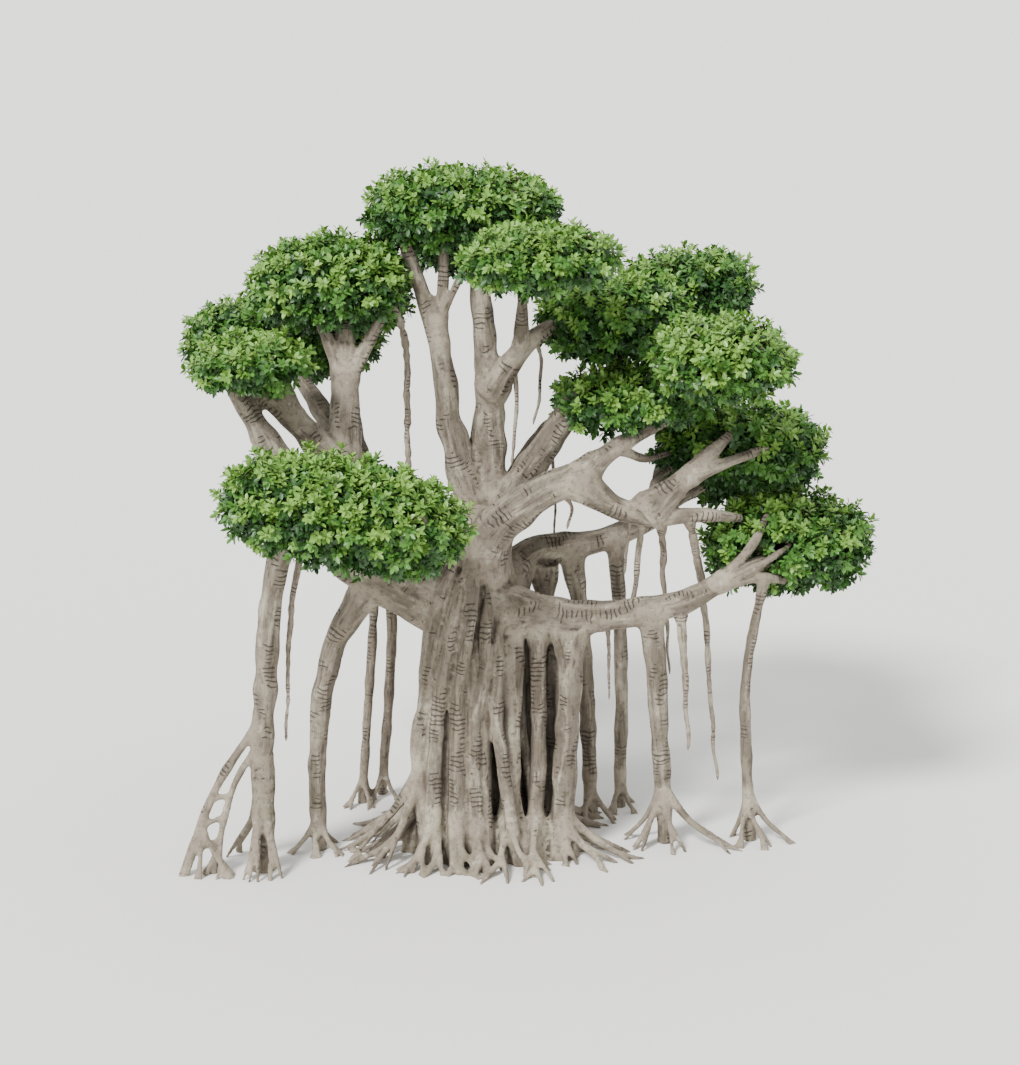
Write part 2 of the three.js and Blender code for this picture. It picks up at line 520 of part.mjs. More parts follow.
// One pad of foliage: a stem from the tip of its bough, twigs that fan from the
// stem and fork, a leaf spray at each twig's end, and the dense core.
function foliage(spec, seed) {
  const random = seeded(seed);
  const centre = point(spec.centre);
  const half = point(spec.half);
  const turn = new THREE.Matrix4().makeRotationY(radians(spec.tilt ?? 0));
  const within = (direction, share) => direction.clone().multiply(half)
    .multiplyScalar(share * fullness(direction)).applyMatrix4(turn).add(centre);
  const near = settled.filter((other) => boxesMeet(other.box, {
    min: centre.clone().sub(half).toArray(),
    max: centre.clone().add(half).toArray(),
  }));
  const isClear = (solid) => near.every(
    (other) => solid.minGap(other.solid, LEAF_ROOM + 1) > LEAF_ROOM);

  const bough = limbs.get(spec.on);
  const tip = bough.curve.getPointAt(1);
  const along = bough.curve.getTangentAt(1);
  const heart = within(new THREE.Vector3(0, 0, stem.heart), 1);
  const stemLine = new THREE.CatmullRomCurve3([
    tip.clone().addScaledVector(along, CLEARANCE),
    tip.clone().addScaledVector(along, stem.straight * METRE),
    heart,
  ], false, 'centripetal');
  const stemRadius = (share) => bough.radiusAt(1) * mix(1, stem.taper, share);
  const stemBar = bar(stemLine, stemRadius, bough.sides, facets.stemSteps);
  const pieces = [largest(clearOf(stemBar.add(padCore(spec, within, random)), near))];
  for (let k = 0; k < twigs.count; k += 1) {
    const height = 1 - (k + 0.5) / twigs.count * twigs.coverage;
    const bearing = k * twigs.turn + random() * twigs.sway;
    const level = Math.sqrt(1 - height * height);
    const main = new THREE.Vector3(Math.cos(bearing) * level, Math.sin(bearing) * level, height);
    const across = new THREE.Vector3(0, 0, 1).cross(main).normalize();
    for (let fork = -1; fork <= 1; fork += 1) {
      const aim = main.clone().addScaledVector(across, fork * twigs.spread);
      aim.z += Math.abs(fork) * (random() - 0.5) * twigs.sway;
      const reach = within(aim.normalize(), twigs.reach);
      const outward = reach.clone().sub(heart).normalize();
      const end = reach.clone().addScaledVector(outward, -leaf.length * (1 - leaf.sunk) * METRE);
      const girthAt = (share) => mix(...twigs.girth, share) * METRE / 2;
      const spray = leafSpray(end, outward, mix(...leaf.choice, random()), random() * Math.PI);
      if (!isClear(spray)) continue;
      pieces.push(spray);
      const twig = bar(new THREE.LineCurve3(heart, end), girthAt, ...facets.twig);
      if (fork === 0 && isClear(twig)) pieces.push(twig);
    }
  }
  return largest(Manifold.union(pieces).simplify(SLIVER));
}

masses.forEach((spec, i) => {
  const colour = leafColours[i % leafColours.length];
  addMesh(spec.name, foliage(spec, seeds.pads + i), point(spec.centre), colour, roughness.leaf);
});

export default group;
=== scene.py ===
# %% [markdown]
# # A banyan tree
# A banyan is a fig that lets roots down from its boughs. Where they reach the ground
# they thicken into props, and round the first stem they fuse into one great fluted
# trunk. This lesson dresses the plain solid model of such a tree: the limbs become one
# grown-together mesh with the relief of bark, and each block of foliage becomes twigs
# and leaves. Everything is in metres, +Z is up, and the ground is z = 0.

# %% Load the solid model
import math
import bpy
import numpy as np
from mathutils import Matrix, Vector
from mathutils.bvhtree import BVHTree
from mathutils.kdtree import KDTree


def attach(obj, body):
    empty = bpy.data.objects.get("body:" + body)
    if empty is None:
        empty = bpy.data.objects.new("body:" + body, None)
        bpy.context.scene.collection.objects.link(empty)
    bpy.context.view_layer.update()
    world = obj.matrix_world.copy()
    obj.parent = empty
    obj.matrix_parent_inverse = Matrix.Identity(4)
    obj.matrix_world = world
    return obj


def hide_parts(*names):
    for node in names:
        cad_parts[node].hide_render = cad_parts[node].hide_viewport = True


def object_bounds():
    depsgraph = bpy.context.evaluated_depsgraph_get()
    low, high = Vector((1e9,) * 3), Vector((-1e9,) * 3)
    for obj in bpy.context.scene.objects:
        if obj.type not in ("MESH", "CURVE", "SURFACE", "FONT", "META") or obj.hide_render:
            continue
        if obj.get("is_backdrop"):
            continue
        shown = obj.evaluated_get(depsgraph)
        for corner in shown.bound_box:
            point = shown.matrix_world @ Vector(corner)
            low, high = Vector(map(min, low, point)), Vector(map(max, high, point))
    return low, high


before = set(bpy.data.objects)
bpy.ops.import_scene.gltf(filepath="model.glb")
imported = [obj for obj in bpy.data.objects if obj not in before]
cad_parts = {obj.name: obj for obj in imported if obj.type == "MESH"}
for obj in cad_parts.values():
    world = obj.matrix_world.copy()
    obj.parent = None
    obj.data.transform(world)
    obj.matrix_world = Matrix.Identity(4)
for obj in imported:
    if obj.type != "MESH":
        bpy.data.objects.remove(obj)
solid_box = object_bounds()
solid_nodes = sorted(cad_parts)
print(len(solid_nodes), "solids, from", tuple(solid_box[0]), "to", tuple(solid_box[1]))

# %% [markdown]
# ## The limbs as lines
# A limb is a line with a girth at each end. The limbs are kept as tables of sizes, and
# functions turn each row into a smooth line. A row has the limb's name, its carrier,
# where it leaves that, the points that it passes, its tip, and its diameters at the foot
# and at the tip. A bough leaves the trunk at a point, or its carrier at a share of that
# limb's length. The last five rows are lesser tines that the solid model leaves out.

# %% Boughs
BOUGHS = """
bough_left, trunk, -0.45 -0.1 5.55, -1.96 -0.8 6.26, -3.01 -1.3 7.05, -4.2 -1.7 8.2, 1.42 0.84
bough_low, trunk, 0.1 -0.3 5.55, 2.45 -0.6 5.49, 4.21 -0.6 5.83, 5.5 -0.75 6.5, 0.92 0.46
bough_second, trunk, 0.1 0.4 5.7, 0.91 1.2 6.5, 1.84 1.6 6.59, 3.28 2 6.95, 4.75 2.9 7.7, 0.85 0.4
arch_rise, trunk, -0.3 -0.2 6.3, 0.24 -0.7 7.6, 1.22 -0.9 8.36, 2.15 -1 8.85, 1 0.66
upright_middle, trunk, -0.05 0.3 7.3, 0 0.5 9.49, -0.05 0.35 10.9, -0.25 0.35 13.4, 0.9 0.4
upright_left, trunk, -0.15 0.2 7.2, -0.86 0.25 9.64, -1.09 0.05 11.46, -1.85 0.15 13.7, 0.82 0.26
upright_right, trunk, 0.1 0.15 7.5, 0.86 0.1 8.6, 1.78 -0.3 10.15, 0.8 0.56
limb_back_top, trunk, -0.1 0.5 7.4, -0.05 1.9 9.6, -0.2 3.8 12.8, 0.62 0.3
limb_back_right, trunk, 0.1 0.5 7.3, 1.2 2.4 9, 2.5 4 9.55, 3.15 5.1 10.75, 0.62 0.34
limb_left_low, bough_left, 0.97, -4.71 -1.5 9.5, -5.53 -1.48 10.98, 0.84 0.32
upright_far, bough_left, 0.66, -3.1 -1 9.3, -3.12 -0.35 11.7, 1 0.46
tine_far_left, upright_far, 0.78, -3.72 -0.5 12.3, 0.36 0.22
tine_far_right, upright_far, 0.76, -2.3 -0.5 12.15, 0.38 0.22
limb_left_middle, upright_far, 0.36, -4.2 -1.15 10, -5.02 -1.4 10.8, 0.76 0.36
limb_far_left, upright_far, 0.46, -3.8 0.3 10.1, -4.42 1.55 10.75, 0.55 0.34
limb_back_left, bough_left, 0.3, -2.5 1.8 7, -3.2 3.4 8.9, -3.6 4.9 11.05, 0.7 0.34
limb_back_low_left, limb_back_left, 0.36, -3.3 3 6.95, 0.45 0.32
limb_front_left, bough_left, 0.62, -3 -2.45 7.75, 0.6 0.4
tine_upright_left, upright_left, 0.62, -0.97 0.1 13.6, 0.36 0.22
limb_middle_right, upright_middle, 0.5, 0.85 0 11.5, 1.7 0.35 12.05, 0.6 0.28
tine_middle_right, limb_middle_right, 0.5, 0.72 -1.15 12.85, 0.34 0.24
arch_over, arch_rise, 0.95, 2.85 -0.9 9.4, 4.2 0.05 9.9, 0.5 0.2
arch_low, arch_rise, 0.9, 2.74 -1 8.05, 3.62 -0.9 7.8, 4.7 -0.85 7.85, 5.6 -0.2 7.63, 0.6 0.22
arch_fork, arch_low, 0.42, 4.5 -0.75 8.85, 5.36 -0.05 9.56, 0.66 0.24
tine_arch_fork, arch_fork, 0.4, 5.1 -0.75 8.95, 5.85 -0.35 9.15, 0.36 0.2
limb_right_rise, bough_second, 0.8, 4.2 2.7 9, 4.6 3 11.75, 0.5 0.28
limb_right_front, limb_right_rise, 0.6, 4.8 1.9 10.75, 5.45 0.4 10.98, 5 -1.55 10.8, 0.42 0.26
tine_low_up, bough_low, 0.9, 5.75 -0.85 7.17, 6.15 -0.25 7.76, 0.32 0.15
tine_low_down, bough_low, 0.96, 6.05 -0.8 6.44, 6.6 -0.4 6.24, 0.32 0.15
tine_left_middle, limb_left_middle, 0.5, -4.4 -1.2 10.95, 0.34 0.24
tine_upright_right, upright_left, 0.7, -0.45 -0.2 13.3, 0.24 0.13
tine_arch_over, arch_over, 0.35, 3.45 -0.2 8.97, 4.1 0.55 9, 0.26 0.12
tine_arch_back, arch_fork, 0.12, 3.7 0.1 8.46, 4.3 0.6 8.75, 0.26 0.12
tine_low_middle, bough_low, 0.95, 6.1 -0.9 6.85, 6.68 -0.45 7.12, 0.28 0.12
"""

# %% [markdown]
# Prop roots run from a bough to a foot on the ground, and end in toes. Their rows end
# with the height at which the toes leave, and then each toe's bearing in degrees, from
# +X towards +Y, and its reach. The other roots hang in the air.

# %% Prop roots and air roots
PROPS = """
column_left, bough_left, 0.93, -4.4 -1.75 7.4, -4.9 -1.7 3.9, -5 -1.7, 0.5 0.52, 2.6,
291 0.75 125 1.4 248 0.85
strut_left, column_left, 0.55, -5.95 -1.85 2, -6.85 -2.1, 0.2 0.2, 1.2, 195 0.45 255 0.4 335 0.8
prop_inner, bough_left, 0.5, -3.5 -0.95 4.7, -3.85 -0.6 2.3, -3.87 -0.35, 0.6 0.32, 0.8,
195 0.75 260 0.6 320 0.75 60 0.7
prop_thin_1, limb_back_left, 0.4, -2.75 2.2 4.6, -3.15 2.9, 0.24 0.22, 0.8, 215 0.6 290 0.5 60 0.5
prop_thin_2, limb_back_left, 0.28, -2.3 1.9 4.6, -2.7 3.6, 0.28 0.24, 0.8, 225 0.6 320 0.5 90 0.5
prop_second_1, bough_second, 0.42, 2.15 1.6 4.4, 2.4 1.75, 0.46 0.34, 0.9, 245 0.75 330 0.75 90 0.6
prop_second_2, bough_second, 0.6, 3.05 2 4.3, 3.1 2.6, 0.36 0.3, 0.8, 240 0.6 310 0.6 60 0.6
prop_front, bough_low, 0.62, 3.78 -0.35 3.5, 3.9 0 1.8, 4.05 0.1, 0.5 0.36, 1.35,
150 1 215 0.85 290 0.9 338 1.9
prop_far_right, tine_low_down, 0.5, 5.75 -0.2 3.9, 5.84 0.1 2, 6 0.25, 0.22 0.3, 1.2,
130 0.5 240 0.6 300 0.8 350 1.15
strut_twin, column_left, 0.6, -5.62 -1.8 1.9, -6.15 -1.95, 0.16 0.16, 1, 200 0.5 262 0.5
"""
AIR_ROOTS = """
air_root_left, bough_left, 0.9, -4.25 -1.45 6.2, -4.51 -1.45 2.88, 0.17 0.06
air_root_long, tine_far_right, 0.85, -2.1 -0.25 12.3, -1.83 0.15 11.4, -1.82 0.5 10,
-1.83 0.55 7.4, 0.17 0.12
air_root_low, bough_low, 0.74, 4.33 -0.7 4.4, 4.4 -0.85 2.5, 0.25 0.07
air_root_arch, arch_low, 0.65, 4.75 -0.05 6, 4.95 0.15 4, 5.2 0.3 1.41, 0.22 0.07
fine_root_1, bough_low, 0.45, 2.68 -0.1 4.6, 2.69 0.05 3.4, 0.13 0.04
fine_root_2, arch_low, 0.51, 3.9 0.1 6.2, 4.05 0.2 3.95, 0.2 0.05
fine_root_3, limb_middle_right, 0.4, 0.6 0.3 10.2, 0.5 0.3 8.75, 0.12 0.07
fine_root_4, limb_middle_right, 0.66, 1.14 0.5 11, 1 0.6 9.6, 0.1 0.06
fine_root_5, arch_rise, 0.8, 1.78 -0.8 8, 1.72 -0.75 7.5, 0.1 0.06
fine_root_6, arch_low, 0.35, 3.06 -0.3 7.2, 3 0.1 6.3, 0.1 0.06
fine_root_7, arch_low, 0.42, 3.3 -0.2 6.8, 3.22 0.1 5.2, 0.18 0.1
fine_root_8, limb_back_right, 0.45, 1.5 2.85 8, 1.5 3 6.2, 0.1 0.04
fine_root_9, limb_back_left, 0.7, -3.35 3.7 8, -3.2 3.9 5.6, 0.1 0.04
"""


def table(text):
    """The rows of a table. A line that ends with a comma goes on in the next one."""
    for row in text.strip().replace(",\n", ", ").splitlines():
        name, carrier, *cells = row.split(", ")
        yield name, carrier, *([float(n) for n in cell.split()] for cell in cells)


for what, text in (("boughs", BOUGHS), ("prop roots", PROPS), ("air roots", AIR_ROOTS)):
    print(len(list(table(text))), what)

# %% [markdown]
# ## Smooth lines through the points
# A centripetal Catmull-Rom curve passes through every point without loops, as a grown
# limb does. The line is then spaced evenly, so that a share of its length is a place.

# %% Smooth lines
SPACING, DRAWN_STEPS, LEAST_STEP = 0.08, 30, 1e-4


def smooth_line(points, spacing=SPACING):
    """The points of a smooth line through the given ones, evenly spaced."""
    p = np.array(points, float)
    p = np.vstack([2 * p[0] - p[1], p, 2 * p[-1] - p[-2]])
    drawn = []
    for a, b, c, d in zip(p, p[1:], p[2:], p[3:]):
        u, v, w = (max(np.linalg.norm(y - x), LEAST_STEP) ** 0.5
                   for x, y in ((a, b), (b, c), (c, d)))
        start = ((b - a) / u - (c - a) / (u + v) + (c - b) / v) * v
        end = ((c - b) / v - (d - b) / (v + w) + (d - c) / w) * v
        t = np.linspace(0, 1, DRAWN_STEPS)[:, None]
        drawn.append(b + start * t + (3 * (c - b) - 2 * start - end) * t**2
                     + (2 * (b - c) + start + end) * t**3)
    drawn = np.vstack(drawn)
    along = distance_along(drawn)
    even = np.linspace(0, along[-1], max(4, round(along[-1] / spacing) + 1))
    return np.stack([np.interp(even, along, drawn[:, k]) for k in range(3)], axis=1)


def distance_along(line):
    return np.r_[0, np.cumsum(np.linalg.norm(np.diff(line, axis=0), axis=1))]


def length_of(line):
    return float(np.linalg.norm(np.diff(line, axis=0), axis=1).sum())


def place_on(line, share):
    """The point at a share of the line's length."""
    spot = share * (len(line) - 1)
    i = min(int(spot), len(line) - 2)
    return line[i] + (line[i + 1] - line[i]) * (spot - i)


def radius_at(radii, share):
    return float(np.interp(share, np.linspace(0, 1, len(radii)), radii))


# %% [markdown]
# A limb swells into a collar where it leaves its carrier. The collar fades with the
# distance from the carrier's bark, over about one radius of the limb. The limb's end is
# rounded off like half a ball.

# %% Limbs with their radii
COLLAR, BURIED_IN_TRUNK, ROUNDED_OFF = 0.4, 0.5, 0.85
UNDER_GROUND = -0.3
RUNGS, RUNG_GIRTH = [(0.5, 0.42), (0.66, 0.55), (0.8, 0.7)], (0.13, 0.11)
LIMBS, CARRIERS = {}, {}


def grow_limb(name, carrier, start, *points, girth):
    """Puts a limb's line and radii in LIMBS, and its carrier in CARRIERS."""
    if carrier == "trunk":
        root, buried = np.array(start), BURIED_IN_TRUNK
    else:
        line, radii = LIMBS[carrier]
        root, buried = place_on(line, start[0]), radius_at(radii, start[0])
    line = smooth_line([root, *points])
    share = np.linspace(0, 1, len(line))
    clear = np.maximum(0, share * length_of(line) - buried)
    taper = girth[0] / 2 + (girth[1] - girth[0]) / 2 * share
    left = np.minimum((1 - share) * length_of(line) / (girth[1] / 2), 1)
    ball = np.sqrt(1 - ROUNDED_OFF * (1 - left) ** 2)
    LIMBS[name] = line, taper * (1 + COLLAR * np.exp(-clear / (girth[0] / 2))) * ball
    CARRIERS[name] = carrier


for *cells, girth in table(BOUGHS):
    grow_limb(*cells, girth=girth)
for *cells, foot, girth, _, _ in table(PROPS):
    grow_limb(*cells, (*foot, UNDER_GROUND), girth=girth)
for *cells, girth in table(AIR_ROOTS):
    grow_limb(*cells, girth=girth)
for k, (upper, lower) in enumerate(RUNGS):
    tip = place_on(LIMBS["strut_twin"][0], lower)
    grow_limb(f"rung_{k}", "strut_left", [upper], tip, girth=RUNG_GIRTH)
print(len(LIMBS), "limbs,", round(sum(length_of(line) for line, _ in LIMBS.values())), "m in all")

# %% [markdown]
# ## Toes
# At its foot each root column spreads in toes that run out over the ground, wander a
# little, fork and thin away. They are what makes the flare of the trunk. Each toe is
# a line too, and its forks leave it on alternate sides.

# %% Toes
BEND_SHARE, BEND_HEIGHT, TOE_DEPTH = 0.4, 0.22, -0.02
SWAY, SWAY_WAVES = 0.07, (1.6, 2.6)
FORK_AT, FORK_STEP, FORK_BEND = 0.45, 0.25, 0.05
FORK_TURN, FORK_REACH, FORK_GIRTH = (24, 38), (0.8, 1.05), 0.85
PROP_TOE_GIRTH, PROP_TOE_TIP = 0.8, 0.085
ALL_TOES = []


def bezier(a, b, c, steps=14):
    t = np.linspace(0, 1, steps)[:, None]
    return (1 - t) ** 2 * a + 2 * t * (1 - t) * b + t**2 * c


def at_height(line, height):
    return line[np.argmin(abs(line[:, 2] - height))]


def level_way(degrees):
    """The level direction at a bearing."""
    return np.array([math.cos(math.radians(degrees)), math.sin(math.radians(degrees)), 0])


def grow_toe(bearer, start, bearing, reach, girth, chance, forks=2):
    """A toe of a root, from a point on it out along the ground, with its forks."""
    ahead = level_way(bearing)
    side = np.array([-ahead[1], ahead[0], 0])
    foot = np.array([start[0], start[1], 0])
    bend = foot + ahead * (reach * BEND_SHARE) + (0, 0, start[2] * BEND_HEIGHT)
    line = bezier(np.array(start), bend, foot + ahead * reach + (0, 0, TOE_DEPTH))
    t = np.linspace(0, 1, len(line))
    sway = np.sin(t * math.pi * chance.uniform(*SWAY_WAVES) + chance.uniform(0, 6)) * SWAY * reach
    line = line + side * (sway * t)[:, None]
    radii = (girth[0] + (girth[1] - girth[0]) * np.sqrt(t)) / 2
    ALL_TOES.append((bearer, line, radii))
    for k in range(forks):
        at = FORK_AT + FORK_STEP * k + chance.uniform(-FORK_BEND, FORK_BEND)
        turn = (-1) ** k * chance.uniform(*FORK_TURN)
        root = place_on(line, at)
        tip = root + level_way(bearing + turn) * (reach * (1 - at) * chance.uniform(*FORK_REACH))
        tip[2] = TOE_DEPTH
        bend = (root + tip) / 2 + side * chance.uniform(-FORK_BEND, FORK_BEND)
        lesser = bezier(root, bend, tip, 9)
        foot_radius = radius_at(radii, at) * FORK_GIRTH
        ALL_TOES.append((bearer, lesser, np.linspace(foot_radius, girth[1] / 2, len(lesser))))


for k, (name, *_, girth, (toe_height,), toes) in enumerate(table(PROPS)):
    start = at_height(LIMBS[name][0], toe_height)
    chance = np.random.default_rng(100 + k)
    for bearing, reach in zip(toes[::2], toes[1::2]):
        grow_toe(name, start, bearing, reach, (girth[1] * PROP_TOE_GIRTH, PROP_TOE_TIP), chance)
print(len(ALL_TOES), "toes under the props")

# %% [markdown]
# ## The trunk's columns
# The trunk is a core with a ring of eight fused root columns round it, sized at five
# heights. Three columns stand partly clear on the right, with three more behind them
# that close the dark slits between them. Slender younger roots wander down over the
# older columns and give the trunk its cords. The drawing shows five of them on its
# face, so these have places of their own. A sixth one closes the chinks between two.

# %% Trunk columns
CENTRE = np.array([-0.35, 0.1])
LEVELS = [7.2, 6.5, 4.8, 2.0, -0.3]
RING = [0.34, 0.6, 0.9, 1.08, 1.5]
LEAN = [0.2, 0.05, 0.0, 0.0, 0.05]
RING_DEPTH, RING_COLUMNS, FIRST_BEARING, BEARING_STEP = 0.92, 8, 28, 35
HEAD, CORE_RADII, RING_RADII = (-0.07, 0.18, 7.95), (0.65, 0.85), (0.25, 0.34)
TOE_HEIGHT, TOES_LEAVE, TOE_GIRTH = 1.25, 0.8, (0.36, 0.1)
RING_REACH, WIDER_REACH = 0.95, 1.15
BOW, BOW_HEIGHT = 0.06, 2.6
GIRTH_CHOICE, TURN_CHOICE, REACH_CHOICE = (0.9, 1.15), (8, 16), (0.85, 1.1)
FLARE, FLARE_FROM, HEAD_SWELL, HEAD_SHARE = 1.1, 0.75, 0.6, 0.13
RIGHT_TOE_HEIGHT, RIGHT_TOE_GIRTH, RIGHT_REACH, RIGHT_REACH_LESS = 1.0, 0.75, 1.9, 0.35
RIGHT_COLUMNS = [
    ((0.52, -0.5, 5.75), (0.36, -0.95), (0.5, 0.46), [255, 300]),
    ((1.08, -0.6, 5.2), (0.98, -0.9), (0.34, 0.4), [270]),
    ((1.78, -0.6, 5.25), (1.55, -0.75), (0.62, 0.5), [349, 314, 25, 280]),
    ((1.25, 1.15, 6.3), (1.25, 0.7), (0.46, 0.5), [40, 75]),
    ((0.85, -0.2, 5.6), (0.78, 0.35), (0.5, 0.52), []),
    ((1.4, -0.3, 5.5), (1.3, 0.25), (0.46, 0.5), []),
]
FACE_ROOTS = [
    ([(-0.66, -0.85, 7.0), (-0.97, -1.05, 6.3), (-1.12, -1.12, 5.7), (-1.25, -1.0, 5.0),
      (-1.38, -0.85, 3.8), (-1.55, -0.85, 2.8), (-1.35, -0.75, -0.3)], (0.3, 0.42), 2.1,
     [(172, 2.0), (212, 1.25)]),
    ([(-0.5, -0.95, 6.75), (-0.68, -1.12, 6.1), (-0.83, -1.2, 5.5), (-0.97, -1.1, 4.7),
      (-1.1, -1.02, 3.9), (-1.2, -1.06, 2.6), (-1.28, -1.3, -0.3)], (0.28, 0.38), 1.2,
     [(236, 1.15)]),
    ([(-0.36, -0.95, 7.0), (-0.36, -1.12, 6.3), (-0.45, -1.18, 5.6), (-0.55, -1.05, 4.9),
      (-0.67, -1.0, 3.9), (-0.7, -1.1, 2.2), (-0.72, -1.4, -0.3)], (0.32, 0.42), 1.1,
     [(256, 0.9), (284, 0.85)]),
    ([(-0.05, -1.05, 6.3), (-0.03, -1.1, 5.9), (-0.09, -1.08, 5.2), (-0.1, -1.0, 4.4),
      (-0.28, -1.04, 3.3), (-0.3, -1.14, 1.9), (-0.14, -1.4, -0.3)], (0.24, 0.32), 1.0,
     [(272, 0.95)]),
    ([(0.24, -0.95, 5.7), (0.22, -0.98, 5.2), (0.2, -0.98, 4.0), (0.2, -1.05, 3.0),
      (0.36, -1.15, 1.8), (0.7, -1.4, -0.3)], (0.22, 0.3), 1.0, [(296, 1.0)]),
    ([(0.05, -0.72, 6.2), (0.06, -0.78, 5.0), (0.06, -0.82, 4.0), (0.04, -0.8, 2.75)],
     (0.4, 0.36), 2.75, []),
]
COLUMNS = []


def down_the_trunk(bearing, share):
    """Points down the trunk at a bearing in degrees, at a share of the ring's radius."""
    turn = math.radians(bearing)
    return [(CENTRE[0] + lean + math.cos(turn) * ring * share,
             CENTRE[1] + math.sin(turn) * ring * share * RING_DEPTH, height)
            for height, ring, lean in zip(LEVELS, RING, LEAN)]


def toe_start(line, height):
    start = place_on(line, TOES_LEAVE)
    return np.array([start[0], start[1], height])


core = smooth_line([HEAD, *down_the_trunk(0, 0)[1:]])
COLUMNS.append((core, np.linspace(*CORE_RADII, len(core))))
chance = np.random.default_rng(40)
for k in range(RING_COLUMNS):
    bearing = FIRST_BEARING + BEARING_STEP * k
    line = smooth_line(down_the_trunk(bearing, 1))
    COLUMNS.append((line, np.linspace(*RING_RADII, len(line)) * chance.uniform(*GIRTH_CHOICE)))
    reach = RING_REACH + WIDER_REACH * abs(math.cos(math.radians(bearing)))
    for side in (-1, 1):
        turn = side * chance.uniform(*TURN_CHOICE)
        far = reach * chance.uniform(*REACH_CHOICE)
        grow_toe("trunk", toe_start(line, TOE_HEIGHT), bearing + turn, far, TOE_GIRTH, chance)
for head, foot, girth, toes in RIGHT_COLUMNS:
    bow = ((head[0] + foot[0]) / 2 + BOW, (head[1] + foot[1]) / 2, BOW_HEIGHT)
    line = smooth_line([head, bow, (*foot, UNDER_GROUND)])
    share = np.linspace(0, 1, len(line))
    spread = (1 + FLARE * np.maximum(0, share - FLARE_FROM) / (1 - FLARE_FROM)
              + HEAD_SWELL * np.maximum(0, 1 - share / HEAD_SHARE))
    COLUMNS.append((line, (girth[0] + (girth[1] - girth[0]) * share) / 2 * spread))
    for i, bearing in enumerate(toes):
        grow_toe("trunk", toe_start(line, RIGHT_TOE_HEIGHT), bearing,
                 RIGHT_REACH - RIGHT_REACH_LESS * i,
                 (girth[1] * RIGHT_TOE_GIRTH, TOE_GIRTH[1]), chance)

# %% Slender roots over the columns
STANDS_OUT, FACE_SWELL, FACE_TOE_GIRTH, FACE_TOE_TIP = 0.07, 1.06, 0.9, 0.09
THIN_HEAD, HEAD_GROWTH = 0.35, 6
YOUNG_ROOTS, YOUNG_SPAN, YOUNG_OUT, YOUNG_GIRTH = 20, (-45, 250), 1.24, (0.13, 0.26)
BEARING_CHOICE, DRIFT, WAVER, YOUNG_TAPER = 5, 12, 4, (0.4, 0.55)
YOUNG_TOES_LEAVE, YOUNG_REACH, YOUNG_TOE_TIP = 0.86, (0.75, 1.1), 0.08
for points, girth, toe_height, toes in FACE_ROOTS:
    points = np.array(points)
    points[:, 1] -= STANDS_OUT * np.clip(np.arange(len(points)) - 1, -1, 1)
    line = smooth_line(points)
    head = np.clip(THIN_HEAD + np.linspace(0, HEAD_GROWTH, len(line)), 0, 1)
    radii = np.linspace(girth[0] / 2, girth[1] / 2, len(line))
    COLUMNS.append((line, radii * FACE_SWELL * head))
    for bearing, reach in toes:
        grow_toe("trunk", at_height(line, toe_height), bearing, reach,
                 (girth[1] * FACE_TOE_GIRTH, FACE_TOE_TIP), chance)
for k in range(YOUNG_ROOTS):
    bearing = YOUNG_SPAN[0] + YOUNG_SPAN[1] * k / YOUNG_ROOTS
    bearing += chance.uniform(-BEARING_CHOICE, BEARING_CHOICE)
    drift = chance.uniform(-DRIFT, DRIFT)
    points = []
    for i in range(len(LEVELS)):
        way = bearing + drift * i / 4 + chance.uniform(-WAVER, WAVER)
        points.append(down_the_trunk(way, YOUNG_OUT)[i])
    line = smooth_line(points[chance.integers(0, 2):])
    girth = chance.uniform(*YOUNG_GIRTH)
    COLUMNS.append((line, np.linspace(*(girth * share for share in YOUNG_TAPER), len(line))))
    grow_toe("trunk", place_on(line, YOUNG_TOES_LEAVE), bearing + drift,
             chance.uniform(*YOUNG_REACH), (girth, YOUNG_TOE_TIP), chance, forks=1)
print(len(COLUMNS), "columns in the trunk,", len(ALL_TOES), "toes in all")

# %% [markdown]
# ## One grown-together mesh of wood
# Real limbs have no seam where they meet. Every line is swept as a round tube by a
# curve with a bevel, and a voxel remesh then fuses the overlapping tubes into one
# skin, which Smooth rounds at the crotches. Booleans would leave sharp creases.

# %% Sweep lines into tubes
def select_only(piece):
    bpy.ops.object.select_all(action="DESELECT")
    piece.select_set(True)
    bpy.context.view_layer.objects.active = piece


def sweep(name, lines, rounds):
    """One mesh of round tubes along the lines, each given with its radii."""
    bpy.ops.object.select_all(action="DESELECT")
    bpy.ops.curve.primitive_nurbs_path_add()
    path = bpy.context.object
    path.name = name
    curve = path.data
    curve.splines.clear()
    for line, radii in lines:
        spline = curve.splines.new("POLY")
        spline.points.add(len(line) - 1)
        spline.points.foreach_set("co", np.c_[line, np.ones(len(line))].ravel())
        spline.points.foreach_set("radius", np.asarray(radii, float))
    curve.dimensions = "3D"
    curve.twist_mode = "MINIMUM"
    curve.bevel_depth = 1
    curve.bevel_resolution = rounds
    curve.use_fill_caps = True
    path.location = (0, 0, 0)
    path.scale = (1, 1, 1)
    bpy.ops.object.convert(target="MESH")
    return bpy.context.object


def apply_modifiers(piece):
    select_only(piece)
    for modifier in list(piece.modifiers):
        bpy.ops.object.modifier_apply(modifier=modifier.name)


def shade_smooth(piece):
    select_only(piece)
    bpy.ops.object.shade_smooth()


def triangles_in(piece):
    return sum(len(face.vertices) - 2 for face in piece.data.polygons)


